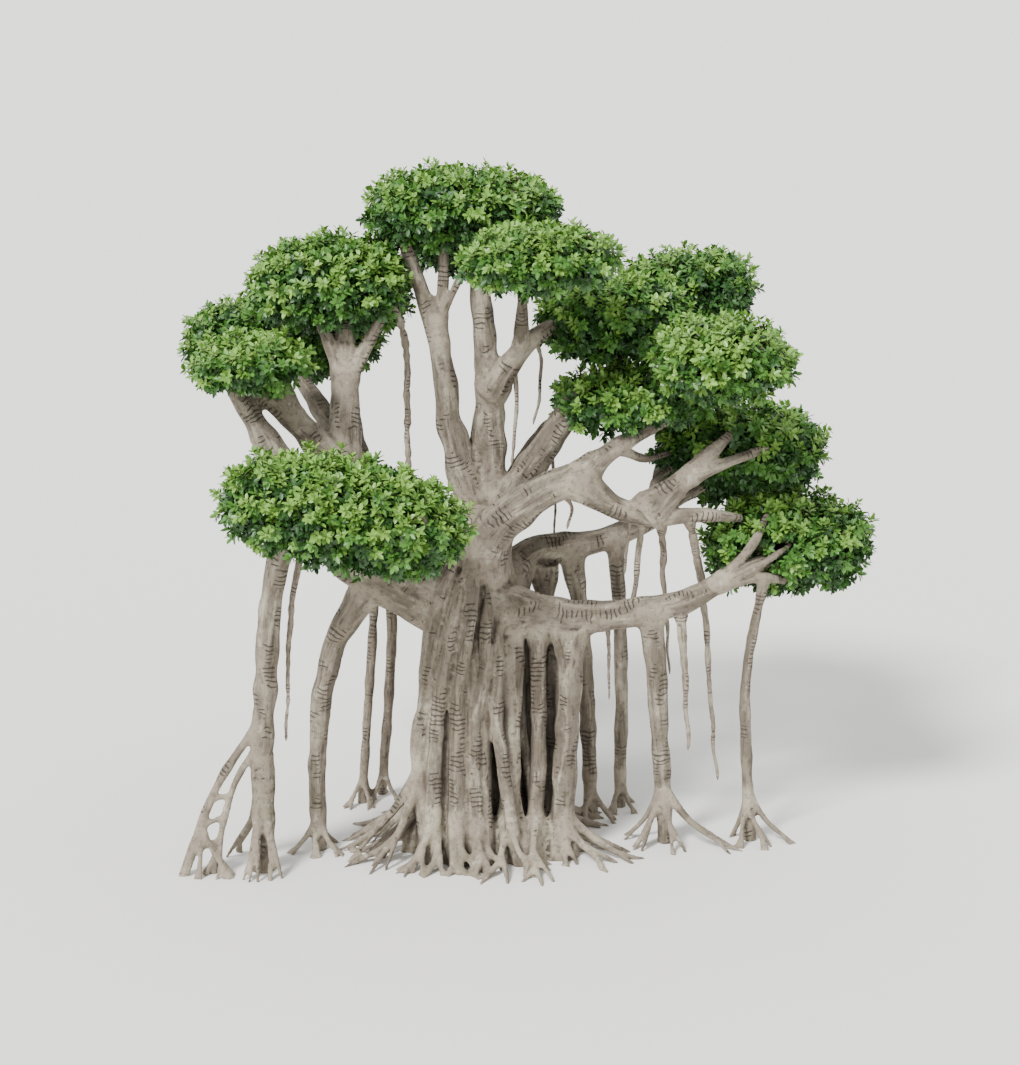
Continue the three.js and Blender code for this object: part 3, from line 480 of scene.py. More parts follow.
# %% Fuse the wood
TUBE_ROUNDS, VOXEL, SMOOTHING, SMOOTHING_ROUNDS = 7, 0.047, 0.5, 4
HANGING = [name for name, *_ in table(AIR_ROOTS)]
WOOD_LINES = {name: LIMBS[name] for name in LIMBS if name not in HANGING}
WOOD_LINES.update({f"column_{k}": line for k, line in enumerate(COLUMNS)})
WOOD_LINES.update({f"toe_{k}": toe[1:] for k, toe in enumerate(ALL_TOES)})
wood = sweep("wood", WOOD_LINES.values(), TUBE_ROUNDS)
print("tubes:", triangles_in(wood), "triangles")
fuse = wood.modifiers.new("fuse", "REMESH")
fuse.mode = "VOXEL"
fuse.voxel_size = VOXEL
rounding = wood.modifiers.new("round the crotches", "SMOOTH")
rounding.factor = SMOOTHING
rounding.iterations = SMOOTHING_ROUNDS
apply_modifiers(wood)
print("fused:", triangles_in(wood), "triangles")

# %% [markdown]
# Where columns fuse they can seal a hollow between them, a shell of its own whose faces
# look inwards. Such shells are never seen, so they are dropped, with any loose scrap.

# %% Drop sealed hollows
def read_points(piece, what="co"):
    values = np.empty(len(piece.data.vertices) * 3, np.float32)
    piece.data.vertices.foreach_get(what, values)
    return values.reshape(-1, 3).astype(float)


def volume_of(piece):
    """The volume inside a piece's faces, and below zero for an inward shell."""
    piece.data.calc_loop_triangles()
    corners = read_points(piece)
    index = np.empty(len(piece.data.loop_triangles) * 3, np.int32)
    piece.data.loop_triangles.foreach_get("vertices", index)
    a, b, c = (corners[index.reshape(-1, 3)[:, k]] for k in range(3))
    return float((np.cross(a, b) * c).sum() / 6)


select_only(wood)
bpy.ops.mesh.separate(type="LOOSE")
shells = list(bpy.context.selected_objects)
wood = max(shells, key=volume_of)
for shell in shells:
    if shell != wood:
        bpy.data.objects.remove(shell)
print(len(shells) - 1, "hollow or loose shells dropped,", triangles_in(wood), "triangles left")

# %% [markdown]
# ## Relief that follows the limbs
# Bark stretches along the limb and wrinkles across it, so its pattern has to know
# which way each limb runs. For every corner of the mesh the nearest spot on a tube is
# found, and the corner's place is written in that limb's own straightened space:
# two numbers across the limb and one along it. Spots that are buried in another limb
# are left out first, and so is a stretch of which less than a third shows.

# %% Frames along the limbs
AROUND, LIMB_OFFSET = 10, 3.7
# The columns of a row of samples, which tells of one spot on a tube's bark.
SPOT, MIDDLE, AHEAD, ACROSS, OVER = (slice(k, k + 3) for k in range(0, 15, 3))
ALONG, RADIUS, LIMB, STATION = range(15, 19)


def frames_along(line):
    """The direction of the line at each point, with two directions across it."""
    ahead = np.gradient(line, axis=0)
    ahead /= np.linalg.norm(ahead, axis=1)[:, None]
    side = np.cross(ahead[0], (0.31, 0.95, 0.05))
    sides = []
    for direction in ahead:
        side = side - direction * (side @ direction)
        side /= np.linalg.norm(side)
        sides.append(side)
    return ahead, np.array(sides), np.cross(ahead, np.array(sides))


def turned(across, over, k, count):
    """One of so many directions round a line, from the two directions across it."""
    turn = 2 * math.pi * k / count
    return across * math.cos(turn) + over * math.sin(turn)


def bark_samples(lines):
    """Spots on the tubes' bark, with the limb's middle, directions and length there."""
    rows = []
    stations = 0
    for order, (line, radii) in enumerate(lines):
        ahead, across, over = frames_along(line)
        along = distance_along(line) + LIMB_OFFSET * order
        for k in range(AROUND):
            spot = line + turned(across, over, k, AROUND) * np.asarray(radii)[:, None]
            rows.append(np.c_[spot, line, ahead, across, over, along, radii,
                              np.full(len(line), order), stations + np.arange(len(line))])
        stations += len(line)
    return np.vstack(rows)


def nearest(points, spots):
    """For each point: the number of the spot nearest to it, and how far away it is."""
    tree = KDTree(len(spots))
    for i, spot in enumerate(spots):
        tree.insert(spot, i)
    tree.balance()
    found = [tree.find(p)[1:] for p in points.tolist()]
    return np.array([i for i, _ in found]), np.array([gap for _, gap in found])


def limb_space(points, samples):
    """Each point's place in its limb's space, and the limb's radius, number and direction."""
    found = samples[nearest(points, samples[:, SPOT])[0]]
    offset = points - found[:, MIDDLE]
    across, over, beyond = ((offset * found[:, way]).sum(1) for way in (ACROSS, OVER, AHEAD))
    place = np.c_[across, over, found[:, ALONG] + beyond]
    return place, found[:, RADIUS], found[:, LIMB].astype(int), found[:, AHEAD]


SKIN_GAP, LEAST_SHOWING = 0.07, 3
samples = bark_samples(WOOD_LINES.values())
corners = read_points(wood)
samples = samples[nearest(samples[:, SPOT], corners)[1] < SKIN_GAP]
station = samples[:, STATION].astype(int)
samples = samples[np.bincount(station)[station] > LEAST_SHOWING]
grain, radius, limb_number, heading = limb_space(corners, samples)
print(len(samples), "samples for", len(corners), "corners")

# %% [markdown]
# ## Four pieces of wood
# One mesh this fine is too heavy for a single piece. It is parted across plain stretches of the
# boughs, where nothing forks, and each open end is filled. The part is first written on the
# corners, by the bough that each one belongs to.

# %% Say which part each corner belongs to
PARTS = ["trunk", "left", "right", "top"]
PARTING = {"bough_left": ("left", 0.24), "bough_low": ("right", 0.3),
           "bough_second": ("right", 0.24), "arch_rise": ("right", 0.45),
           "upright_middle": ("top", 0.22), "upright_left": ("top", 0.24),
           "upright_right": ("top", 0.4), "limb_back_top": ("top", 0.24),
           "limb_back_right": ("top", 0.24)}
CARRIERS.update({f"toe_{k}": toe[0] for k, toe in enumerate(ALL_TOES)})


def parting_of(name):
    """The part that a limb goes with, and the share of its length where the part starts."""
    if name in PARTING:
        return PARTING[name]
    while name in CARRIERS and name not in PARTING:
        name = CARRIERS[name]
    return PARTING[name][0] if name in PARTING else "trunk", -1


along = grain[:, 2] - LIMB_OFFSET * limb_number
share = along / np.array([length_of(line) for line, _ in WOOD_LINES.values()])[limb_number]
partings = [parting_of(name) for name in WOOD_LINES]
starts = np.array([start for _, start in partings])[limb_number]
part_number = np.array([PARTS.index(part) for part, _ in partings])[limb_number]
part_of_corner = np.where(share > starts, part_number, 0)
print({part: int((part_of_corner == k).sum()) for k, part in enumerate(PARTS)}, "corners")

# %% [markdown]
# Cords run along the limb and are sharp at the creases, knuckles swell it every
# half metre, and broad lumps make it uneven. The thickest wood has the most. Where
# limbs that run different ways meet, the relief and the wrinkles calm down, as bark
# that has grown over a fork does. Where any two limbs meet they calm down in a narrow
# band, because the patterns of the two don't match.

# %% Where limbs meet
ALIKE = 0.9
ends = np.empty(len(wood.data.edges) * 2, np.int32)
wood.data.edges.foreach_get("vertices", ends)
edge_from, edge_to = ends.reshape(-1, 2).T
neighbours = np.bincount(edge_from, minlength=len(corners))
neighbours += np.bincount(edge_to, minlength=len(corners))


def fading(edges, rounds, fade):
    """1 at the ends of the chosen edges, and less with each round of neighbours."""
    value = np.zeros(len(corners))
    value[edge_from[edges]] = value[edge_to[edges]] = 1
    for _ in range(rounds):
        spread = value.copy()
        np.maximum.at(spread, edge_from, value[edge_to] * fade)
        np.maximum.at(spread, edge_to, value[edge_from] * fade)
        value = spread
    return value


def evened(value, rounds):
    """The value averaged with that of the neighbours over the mesh, so many times."""
    for _ in range(rounds):
        total = np.bincount(edge_from, value[edge_to], len(value))
        total += np.bincount(edge_to, value[edge_from], len(value))
        value = (value + total / neighbours) / 2
    return value


meets = limb_number[edge_from] != limb_number[edge_to]
unlike = meets & (abs((heading[edge_from] * heading[edge_to]).sum(1)) < ALIKE)
calm = np.maximum(fading(meets, rounds=1, fade=0.5), fading(unlike, rounds=5, fade=0.8))
print(int((calm > 0.5).sum()), "corners near a join")

# %% [markdown]
# Light hardly gets into the slits between the columns, so their bark is painted dark there:
# painted shade. Rays cast from each corner tell how much of its outlook is closed in by other wood
# close by, and the paint darkens it there.

# %% Painted shade in the crevices
OUTLOOK, RAYS, LEAST_FACING, OFF_THE_SKIN = 0.8, 14, 0.25, 0.02
GOLDEN = math.radians(137.5)


def even_directions(count):
    """Directions spread evenly over a ball, on the spiral that sunflowers use."""
    height = 1 - (np.arange(count) + 0.5) * 2 / count
    turn = np.arange(count) * GOLDEN
    level = np.sqrt(1 - height**2)
    return np.stack([np.cos(turn) * level, np.sin(turn) * level, height], axis=1)


normals = read_points(wood, "normal")
skin = BVHTree.FromObject(wood, bpy.context.evaluated_depsgraph_get())
blocked, asked = np.zeros(len(corners)), np.zeros(len(corners))
for way in even_directions(RAYS):
    facing = normals @ way
    open_side = np.flatnonzero(facing > LEAST_FACING)
    asked[open_side] += facing[open_side]
    starts = (corners[open_side] + normals[open_side] * OFF_THE_SKIN).tolist()
    hit = np.array([skin.ray_cast(start, way, OUTLOOK)[0] is not None for start in starts])
    blocked[open_side[hit]] += facing[open_side[hit]]
# Painted shade: the share of the outlook closed in by wood, which darkens the bark's colour.
shut = evened(blocked / np.maximum(asked, 1e-6), rounds=3)
print(round(float((shut > 0.5).mean() * 100)), "% of the bark is in a crevice")

# %% Bark relief
WAVES = 14
CORD_LENGTHENED, CORD_SIZE, KNUCKLE_SIZE, LUMP_SIZE = 0.14, 0.34, 0.5, 0.9
CORD_RELIEF, KNUCKLE_RELIEF, LUMP_RELIEF = 0.022, 0.012, 0.018
FULL_RELIEF_RADIUS, LEAST_RELIEF = 0.35, 0.15


def ripple(where, size, seed):
    """Smooth bumps about that many metres across, mostly from -1 to 1."""
    chance = np.random.default_rng(seed)
    total = np.zeros(len(where))
    for _ in range(WAVES):
        way = chance.normal(size=3)
        way *= 2 * math.pi / size / np.linalg.norm(way)
        total += np.sin(where @ way + chance.uniform(0, 2 * math.pi))
    return total / math.sqrt(WAVES / 2)


def keep_on_corners(piece, name, values):
    """Writes one number, or a place, on each corner of a piece, for its paint to read."""
    kind, key = ("FLOAT_VECTOR", "vector") if values.ndim == 2 else ("FLOAT", "value")
    piece.data.attributes.new(name, kind, "POINT").data.foreach_set(
        key, values.astype(np.float32).ravel())


def write_points(piece, points):
    piece.data.vertices.foreach_set("co", points.astype(np.float32).ravel())


girth_share = evened(np.clip(radius / FULL_RELIEF_RADIUS, LEAST_RELIEF, 1), rounds=4)
cords = 0.5 - abs(ripple(grain * (1, 1, CORD_LENGTHENED), CORD_SIZE, 1))
knuckles = ripple(grain * (0.5, 0.5, 1), KNUCKLE_SIZE, 2)
lumps = ripple(corners, LUMP_SIZE, 3)
own = (CORD_RELIEF * np.clip(cords, -1, 0.5) + KNUCKLE_RELIEF * knuckles) * (1 - calm)
relief = girth_share * (own + LUMP_RELIEF * lumps)
corners = corners + normals * relief[:, None]
write_points(wood, corners)
wood.data.update()
print("relief from", round(float(relief.min()), 3), "to", round(float(relief.max()), 3), "m")

# %% [markdown]
# The skin is painted darker wherever it is hollow, such as in the seams between fused roots and in
# the creases between the cords: painted shade. A corner is in a hollow where its neighbours stand
# higher than it does.

# %% Painted shade in the hollows of the skin
HOLLOW_RISE, CREASE_SHARE = 0.006, 0.6
normals = read_points(wood, "normal")
step = corners[edge_to] - corners[edge_from]
higher = np.bincount(edge_from, (step * normals[edge_from]).sum(1), len(corners))
higher -= np.bincount(edge_to, (step * normals[edge_to]).sum(1), len(corners))
seam = np.clip(evened(higher / neighbours, 1) / HOLLOW_RISE, 0, 1)
# Painted shade: the paint darkens the skin in its seams and in the creases between cords.
hollow = np.maximum(seam, CREASE_SHARE * np.clip(0.5 - cords, 0, 1) * (1 - calm))
for name, values in (("grain", grain), ("part", part_of_corner), ("calm", calm),
                     ("shut", shut), ("hollow", hollow)):
    keep_on_corners(wood, name, values)
print(round(float((seam > 0.5).mean() * 100)), "% of the bark is in a seam")

# %% [markdown]
# The tree stands on level ground, so everything below it is cut off flat.

# %% Cut the wood at the ground
def edit(piece):
    select_only(piece)
    bpy.ops.object.mode_set(mode="EDIT")
    bpy.ops.mesh.select_mode(type="FACE")
    bpy.ops.mesh.select_all(action="SELECT")


edit(wood)
bpy.ops.mesh.bisect(plane_co=(0, 0, 0), plane_no=(0, 0, 1), clear_inner=True, use_fill=True)
bpy.ops.object.mode_set(mode="OBJECT")


def stand_on_ground(piece):
    """Lifts what is a hair below the ground up to it."""
    write_points(piece, np.maximum(read_points(piece), (-np.inf, -np.inf, 0)))


stand_on_ground(wood)
print("lowest wood at", round(float(read_points(wood)[:, 2].min()), 4), "m")

# %% Part the wood
MOST_TRIANGLES = 190000


def read_attribute(piece, name):
    values = np.empty(len(piece.data.vertices), np.float32)
    piece.data.attributes[name].data.foreach_get("value", values)
    return values


WOOD = {"trunk": wood}
for k, part in enumerate(PARTS[1:], 1):
    on_part = abs(read_attribute(wood, "part") - k) < 0.01
    faces = [all(on_part[v] for v in face.vertices) for face in wood.data.polygons]
    edit(wood)
    bpy.ops.mesh.select_all(action="DESELECT")
    bpy.ops.object.mode_set(mode="OBJECT")
    wood.data.polygons.foreach_set("select", faces)
    bpy.ops.object.mode_set(mode="EDIT")
    bpy.ops.mesh.separate(type="SELECTED")
    bpy.ops.object.mode_set(mode="OBJECT")
    WOOD[part] = next(o for o in bpy.context.selected_objects if o != wood)
for part, piece in WOOD.items():
    piece.name = piece.data.name = f"bark_{part}"
    edit(piece)
    bpy.ops.mesh.select_mode(type="EDGE")
    bpy.ops.mesh.select_all(action="DESELECT")
    bpy.ops.mesh.select_non_manifold()
    bpy.ops.mesh.mark_sharp()
    bpy.ops.mesh.fill_holes(sides=0)
    bpy.ops.mesh.select_all(action="SELECT")
    bpy.ops.mesh.quads_convert_to_tris()
    bpy.ops.object.mode_set(mode="OBJECT")
    if triangles_in(piece) > MOST_TRIANGLES:
        thin = piece.modifiers.new("thin out", "DECIMATE")
        thin.ratio = MOST_TRIANGLES / triangles_in(piece)
        apply_modifiers(piece)
        stand_on_ground(piece)
    shade_smooth(piece)
    print(piece.name, triangles_in(piece), "triangles")

# %% [markdown]
# ## Air roots
# Roots that hang in the air are too thin for the voxels, so they stay swept tubes,
# each sunk in the limb that it hangs from. Small swellings keep them from looking drawn
# with a ruler.

# %% Air roots
SWAY_SIZE, SWELLING_SIZE, MOST_SWAY, SWELLING = 0.9, 0.22, 0.022, 0.1


def wavy(line, radii, seed):
    """The line swaying a little, with its radii swelling and thinning."""
    sway = np.stack([ripple(line, SWAY_SIZE, seed + k) for k in range(3)], axis=1) * (1, 1, 0)
    slack = np.sin(np.linspace(0, math.pi / 2, len(line)))[:, None]
    swollen = radii * (1 + SWELLING * ripple(line, SWELLING_SIZE, seed + 3))
    return line + sway * slack * MOST_SWAY, swollen


HANGING_LINES = {name: wavy(*LIMBS[name], 50 + 5 * k) for k, name in enumerate(HANGING)}
hanging = sweep("air_roots", HANGING_LINES.values(), 3)
keep_on_corners(hanging, "grain",
                limb_space(read_points(hanging), bark_samples(HANGING_LINES.values()))[0])
shade_smooth(hanging)
print(len(HANGING_LINES), "air roots,", triangles_in(hanging), "triangles")

# %% [markdown]
# ## Bark
# The bark of an old banyan is grey-brown and fairly smooth, with fissures along the limb,
# short wrinkles across it in groups of three to five, pale crusts of lichen and a film
# of green algae in broad patches. It is rough and not shiny. The fissures and wrinkles
# read the straightened limb space, and what grows on the bark reads plain places. One
# small function adds a node. A node given as a link stands for its first open output.

# %% Colours and nodes
def colour(hex_value):
    """An sRGB hex colour as the linear numbers that a node wants."""
    parts = [int(hex_value[i:i + 2], 16) / 255 for i in (1, 3, 5)]
    return (*[c / 12.92 if c <= 0.04045 else ((c + 0.055) / 1.055) ** 2.4 for c in parts], 1)


def material(name):
    made = bpy.data.materials.new(name)
    made.use_nodes = True
    made.node_tree.nodes.clear()
    return made


def add(tree, kind, settings=None, links=None):
    """Adds a node, sets its properties or sockets, and links outputs to its sockets."""
    node = tree.nodes.new(f"ShaderNode{kind}")
    for key, value in (settings or {}).items():
        if isinstance(key, str) and hasattr(node, key):
            setattr(node, key, value)
        else:
            node.inputs[key].default_value = value
    for key, source in (links or {}).items():
        if isinstance(source, bpy.types.Node):
            source = next(output for output in source.outputs if output.enabled)
        tree.links.new(source, node.inputs[key])
    return node


# %% Bark material
# The third colour is painted shade, for slits where light hardly reaches.
ALGAE, CRUST, CREVICE_SHADE, WRINKLE = "#6f7053", "#bdb8a8", "#2b251e", "#2f2820"


def bark(name, base, pale, dark, wrinkle_gap):
    """Fig bark. wrinkle_gap is the distance between two wrinkles of a group, in metres."""
    made = material(name)
    tree = made.node_tree
    grain = add(tree, "Attribute", {"attribute_name": "grain"}).outputs["Vector"]
    hollow, calm, shut = (add(tree, "Attribute", {"attribute_name": kept}).outputs["Fac"]
                          for kept in ("hollow", "calm", "shut"))
    place = add(tree, "TexCoord").outputs["Object"]
    stretched, grouping = (add(tree, "Mapping", {"Scale": scale}, {"Vector": grain})
                           for scale in ((1, 1, 0.14), (1.9, 1.9, 1.15)))
    fissures, groups, uneven, patches, crusts, specks, mottles = (
        add(tree, "TexNoise", {"Scale": scale, "Detail": detail, "Roughness": roughness},
            {"Vector": space})
        for space, scale, detail, roughness in (
            (stretched, 15, 7, 0.68), (grouping, 1.9, 0.5, 0.5), (grain, 4, 1, 0.5),
            (place, 1.1, 4, 0.5), (place, 4.5, 5, 0.6), (place, 42, 3, 0.5), (place, 8, 6, 0.7)))

    lively = add(tree, "Math", {"operation": "SUBTRACT", 0: 1.0}, {1: calm})
    centred = add(tree, "Math", {"operation": "SUBTRACT", 1: 0.5}, {0: fissures})
    cords = add(tree, "Math", {"operation": "MULTIPLY_ADD", 2: 0.5}, {0: centred, 1: lively})

    along = add(tree, "SeparateXYZ", links={0: grain}).outputs["Z"]
    wobble = add(tree, "Math", {"operation": "MULTIPLY_ADD", 1: 0.16}, {0: uneven, 2: along})
    rings = add(tree, "Math", {"operation": "PINGPONG", 1: wrinkle_gap / 2}, {0: wobble})
    line = add(tree, "MapRange",
               {"interpolation_type": "SMOOTHSTEP", 1: wrinkle_gap * 0.04,
                2: wrinkle_gap * 0.2, 3: 1.0, 4: 0.0}, {0: rings})
    restless = add(tree, "Math", {"operation": "MULTIPLY_ADD", 1: -0.35}, {0: calm, 2: groups})
    mask = add(tree, "MapRange", {"interpolation_type": "SMOOTHSTEP", 1: 0.54, 2: 0.62},
               {0: restless})
    grouped = add(tree, "Math", {"operation": "MULTIPLY"}, {0: line, 1: mask})
    wrinkles = add(tree, "Math", {"operation": "MULTIPLY"}, {0: grouped, 1: lively})

    body = None
    # A layer of paint is not seen at one value of its source, and most seen at another. The layers
    # read from the hollows and from the crevices are painted shade.
    for source, unseen, full, most, paint in (
            (patches, 0.48, 0.68, 0.75, pale), (patches, 0.46, 0.3, 0.32, ALGAE),
            (mottles, 0.5, 0.36, 0.5, dark), (crusts, 0.6, 0.66, 0.4, CRUST),
            (cords, 0.5, 0.34, 0.8, dark), (hollow, 0.2, 0.9, 0.85, dark),
            (shut, 0.42, 0.95, 0.85, CREVICE_SHADE), (wrinkles, 0, 1, 0.68, WRINKLE)):
        shown = add(tree, "MapRange", {1: unseen, 2: full, 4: most}, {0: source})
        body = add(tree, "Mix", {"data_type": "RGBA", 6: colour(base), 7: colour(paint)},
                   {0: shown, 6: body} if body else {0: shown})
    height = cords
    for source, amount in ((wrinkles, -0.9), (specks, 0.22), (mottles, 0.55)):
        height = add(tree, "Math", {"operation": "MULTIPLY_ADD", 1: amount},
                     {0: source, 2: height})
    bump = add(tree, "Bump", {"Strength": 1.0, "Distance": 0.045}, {"Height": height})
    surface = add(tree, "BsdfPrincipled", {"Roughness": 0.86, "IOR": 1.45},
                  {"Base Color": body, "Normal": bump})
    add(tree, "OutputMaterial", links={"Surface": surface})
    return made


old_bark = bark("fig_bark_weathered", "#8a7f70", "#b1a995", "#4a4136", 0.105)
root_bark = bark("fig_root_bark", "#95897a", "#b8b09c", "#544a3d", 0.085)
twig_bark = bark("fig_twig_bark", "#5c5042", "#746855", "#352c22", 0.05)
PART_NODES = {part: [] for part in PARTS}
for name in solid_nodes:
    if not name.startswith(("foliage", "air_root")):
        PART_NODES[parting_of(name)[0]].append(name)


def finish_piece(piece, finish, nodes):
    """Gives a piece its material and its body, and hides the solids that it stands for."""
    piece.data.materials.clear()
    piece.data.materials.append(finish)
    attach(piece, "root")
    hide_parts(*nodes)


for part, piece in WOOD.items():
    finish_piece(piece, old_bark, PART_NODES[part])
finish_piece(hanging, root_bark,
             [name for name in solid_nodes if name.startswith("air_root")])
print({part: len(nodes) for part, nodes in PART_NODES.items()}, "solids replaced")

# %% [markdown]
# ## The pads of foliage
# The crown is a set of separate flat pads. Each pad grows from one stem at the tip of
# its bough, and keeps to its own flattened ball of space. Its row has its name, the
# bough, its middle, its half sizes and a tilt in degrees. A leaf on a real banyan is
# 10 to 20 cm long, so a tree this size has far more of them than can be made: here
# they are 12 to 19 cm long, or up to 25 cm where they only fill the inside of a pad.
# Each spray is the leafy end of a twig.

# %% Pads
PADS = list(table("""
top, upright_middle, -0.55 0.75 14.4, 2.25 1.9 0.98, 0
top_front, tine_middle_right, 1.08 -2.4 13.59, 1.75 1.3 0.72, 0
upper_left, upright_far, -3.54 0.3 12.84, 1.91 1.7 1.15, 0
far_left, limb_far_left, -4.76 2.6 11.34, 2.46 1.4 1.03, 0
left, limb_left_middle, -5.02 -1.7 11.34, 1.29 1.2 0.64, 0
front_left, limb_front_left, -2.94 -3.6 8.5, 2.75 1.6 1.2, 12
right_1, limb_right_rise, 4.6 3.1 12.5, 1.62 1.45 0.89, 0
right_2, limb_middle_right, 2.68 0.6 12.05, 1.86 1.4 1.02, 0
right_3, limb_right_front, 4.9 -2.2 11.5, 1.52 1.45 0.92, 0
right_4, upright_right, 3.15 0.1 10.33, 1.95 1.5 0.72, 0
right_5, tine_arch_fork, 5.6 1 9.15, 2.05 1.5 0.98, 0
far_right, bough_low, 6.71 0.5 7, 1.93 1.57 1.19, 0
back_top, limb_back_top, -0.24 4.3 13.5, 1.85 1.6 0.85, 0
back_left, limb_back_left, -3.73 5.4 11.9, 1.8 1.5 0.96, 0
back_right, limb_back_right, 3.2 5.7 11.4, 1.92 1.5 1.02, 0
back_low_left, limb_back_low_left, -3.61 4.1 7.1, 2.03 1.5 0.96, 0
back_low_right, bough_second, 6.05 4.1 8.2, 1.79 1.5 1.07, 0
"""))
ROUNDNESS = 2.4
CORE_SHARE, LUMP, UNDERSIDE, BULGES = 0.91, 0.06, 0.93, 9
TWIG_COUNT, COVERAGE, TURN, SPREAD = 5, 1.4, 2.4, 0.45
BEARING_PLAY, FORK_PLAY = 0.6, 0.6


def unit(v):
    return v / np.linalg.norm(v, axis=-1, keepdims=True)


def tilted(v, tilt):
    """Vectors turned about +Y by an angle in degrees."""
    c, s = math.cos(math.radians(tilt)), math.sin(math.radians(tilt))
    return np.stack([v[..., 0] * c + v[..., 2] * s, v[..., 1], v[..., 2] * c - v[..., 0] * s], -1)


def within(pad, direction, share):
    """A point in a pad's space, in a direction from its middle."""
    *_, centre, half, (tilt,) = pad
    round_length = (abs(direction) ** ROUNDNESS).sum(-1) ** (1 / ROUNDNESS)
    full = np.linalg.norm(direction, axis=-1) / round_length
    return tilted(direction * half * (share * full)[..., None], tilt) + centre


# %% [markdown]
# The source of the solids deals out its twigs by a repeatable stream of numbers. The
# same stream is written again here, so that each pad's bulges and main twigs are the
# ones that the solid has, and the finer growth is carried on from them.

# %% The stream of numbers
def seeded(seed):
    """A repeatable stream of numbers between 0 and 1."""
    state = seed * 2654435761 % 2**32

    def draw():
        nonlocal state
        state = (state + 0x6D2B79F5) % 2**32
        value = (state ^ state >> 15) * (1 | state) % 2**32
        value = (value + (value ^ value >> 7) * (61 | value)) % 2**32 ^ value
        return (value ^ value >> 14) / 2**32
    return draw


def pad_growth(pad, draw):
    """The pad's bulges, and the directions of its main twigs with the forks of each."""
    bulges = np.array([[draw() - 0.5, draw() - 0.5, draw() - 0.35] for _ in range(BULGES)])
    aims = []
    for k in range(TWIG_COUNT):
        height = 1 - (k + 0.5) / TWIG_COUNT * COVERAGE
        bearing = k * TURN + draw() * BEARING_PLAY
        level = math.sqrt(1 - height * height)
        main = np.array([math.cos(bearing) * level, math.sin(bearing) * level, height])
        across = unit(np.cross((0, 0, 1), main))
        for fork in (-1, 0, 1):
            aim = main + across * fork * SPREAD
            aim[2] += abs(fork) * (draw() - 0.5) * FORK_PLAY
            aims.append(unit(aim))
            draw(), draw()
    return unit(bulges), np.array(aims)


def swell(directions, bulges):
    """The share of the pad's reach that its dense part has in each direction."""
    nearness = np.maximum(0, (directions @ bulges.T).max(axis=1))
    return CORE_SHARE - LUMP + 2 * LUMP * nearness**3


# %% [markdown]
# From the stem's end five main twigs fork in three. The pad's skin is covered with
# clumps about half a metre apart, wider than they are high, which give the crown its
# layers and its scalloped edge. A branchlet joins each clump to the nearest main twig.
# The sprays are spread in the same way, much closer. They stand out over the middle of
# a clump and lie deeper between two. A second, looser layer inside them keeps the pad
# from being seen through, and the weight of the leaves lets it all hang a little.

# %% Clumps and sprays
CLUMP_GAP, CLUMP_DEPTH = 0.6, 0.35
SPRAY_GAP, INNER_GAP, INNER_DEPTH = 0.175, 0.25, 0.34
SCALLOP, CLUMP_REACH, CLUMP_HEIGHTS = 0.15, 0.38, (0.5, 1.35)
LAYERED = np.array((1, 1, 1.7))
HANG = (0, 0, -0.09)


def spread_over(pad, bulges, chance, gap, tries, stretch=1):
    """Places over a pad's skin that keep a gap apart, each with its outward direction."""
    *_, half, (tilt,) = pad
    ways = unit(chance.normal(size=(tries, 3)))
    share = swell(ways, bulges)
    ways[ways[:, 2] < 0, 2] *= UNDERSIDE
    spots = within(pad, ways, share) + HANG
    outward = unit(tilted(ways / np.array(half), tilt))
    kept = np.empty(tries, int)
    count = 0
    for i, spot in enumerate(spots):
        apart = (spots[kept[:count]] - spot) * stretch
        if (apart**2).sum(1).min(initial=math.inf) > gap * gap:
            kept[count] = i
            count += 1
    return spots[kept[:count]], outward[kept[:count]]


# %% [markdown]
# ## Twigs, sprays and leaves
# A spray's stalk leaves its clump outwards and a little up, and its leaves stand round
# it in the spiral that most plants use, 137.5 degrees from one to the next. All of it is
# worked out as arrays, because there are nearly two hundred thousand leaves.

# %% Grow the foliage
LEAVES, LEAF_LENGTH, INNER_LEAVES = 15, (0.12, 0.19), 1.3
HUB_ROOM, SPRAY_ROOM = 0.05, 0.1
DEEPEST = -3
STEM_OUT, STEM_TAPER, TWIG_REACH, TWIG_ARCH = 0.25, (0.95, 0.5), 0.82, 0.12
TWIG_RADII, BRANCHLET_RADII, BRANCHLET_BEND = (0.045, 0.018), (0.024, 0.012), 0.04
CLUMP_TRIES, SPRAY_TRIES = 2400, 9000
ASIDE, OUTER_CHOICE, UPWARD = 0.7, 0.3, (0, 0, 0.15)
INNER_OUT, INNER_CHOICE = 0.5, 0.6


def room_round(points):
    """How far each point is from the bark of the nearest limb, and below zero inside."""
    found = samples[nearest(points, samples[:, SPOT])[0]]
    return np.linalg.norm(points - found[:, MIDDLE], axis=1) - found[:, RADIUS]


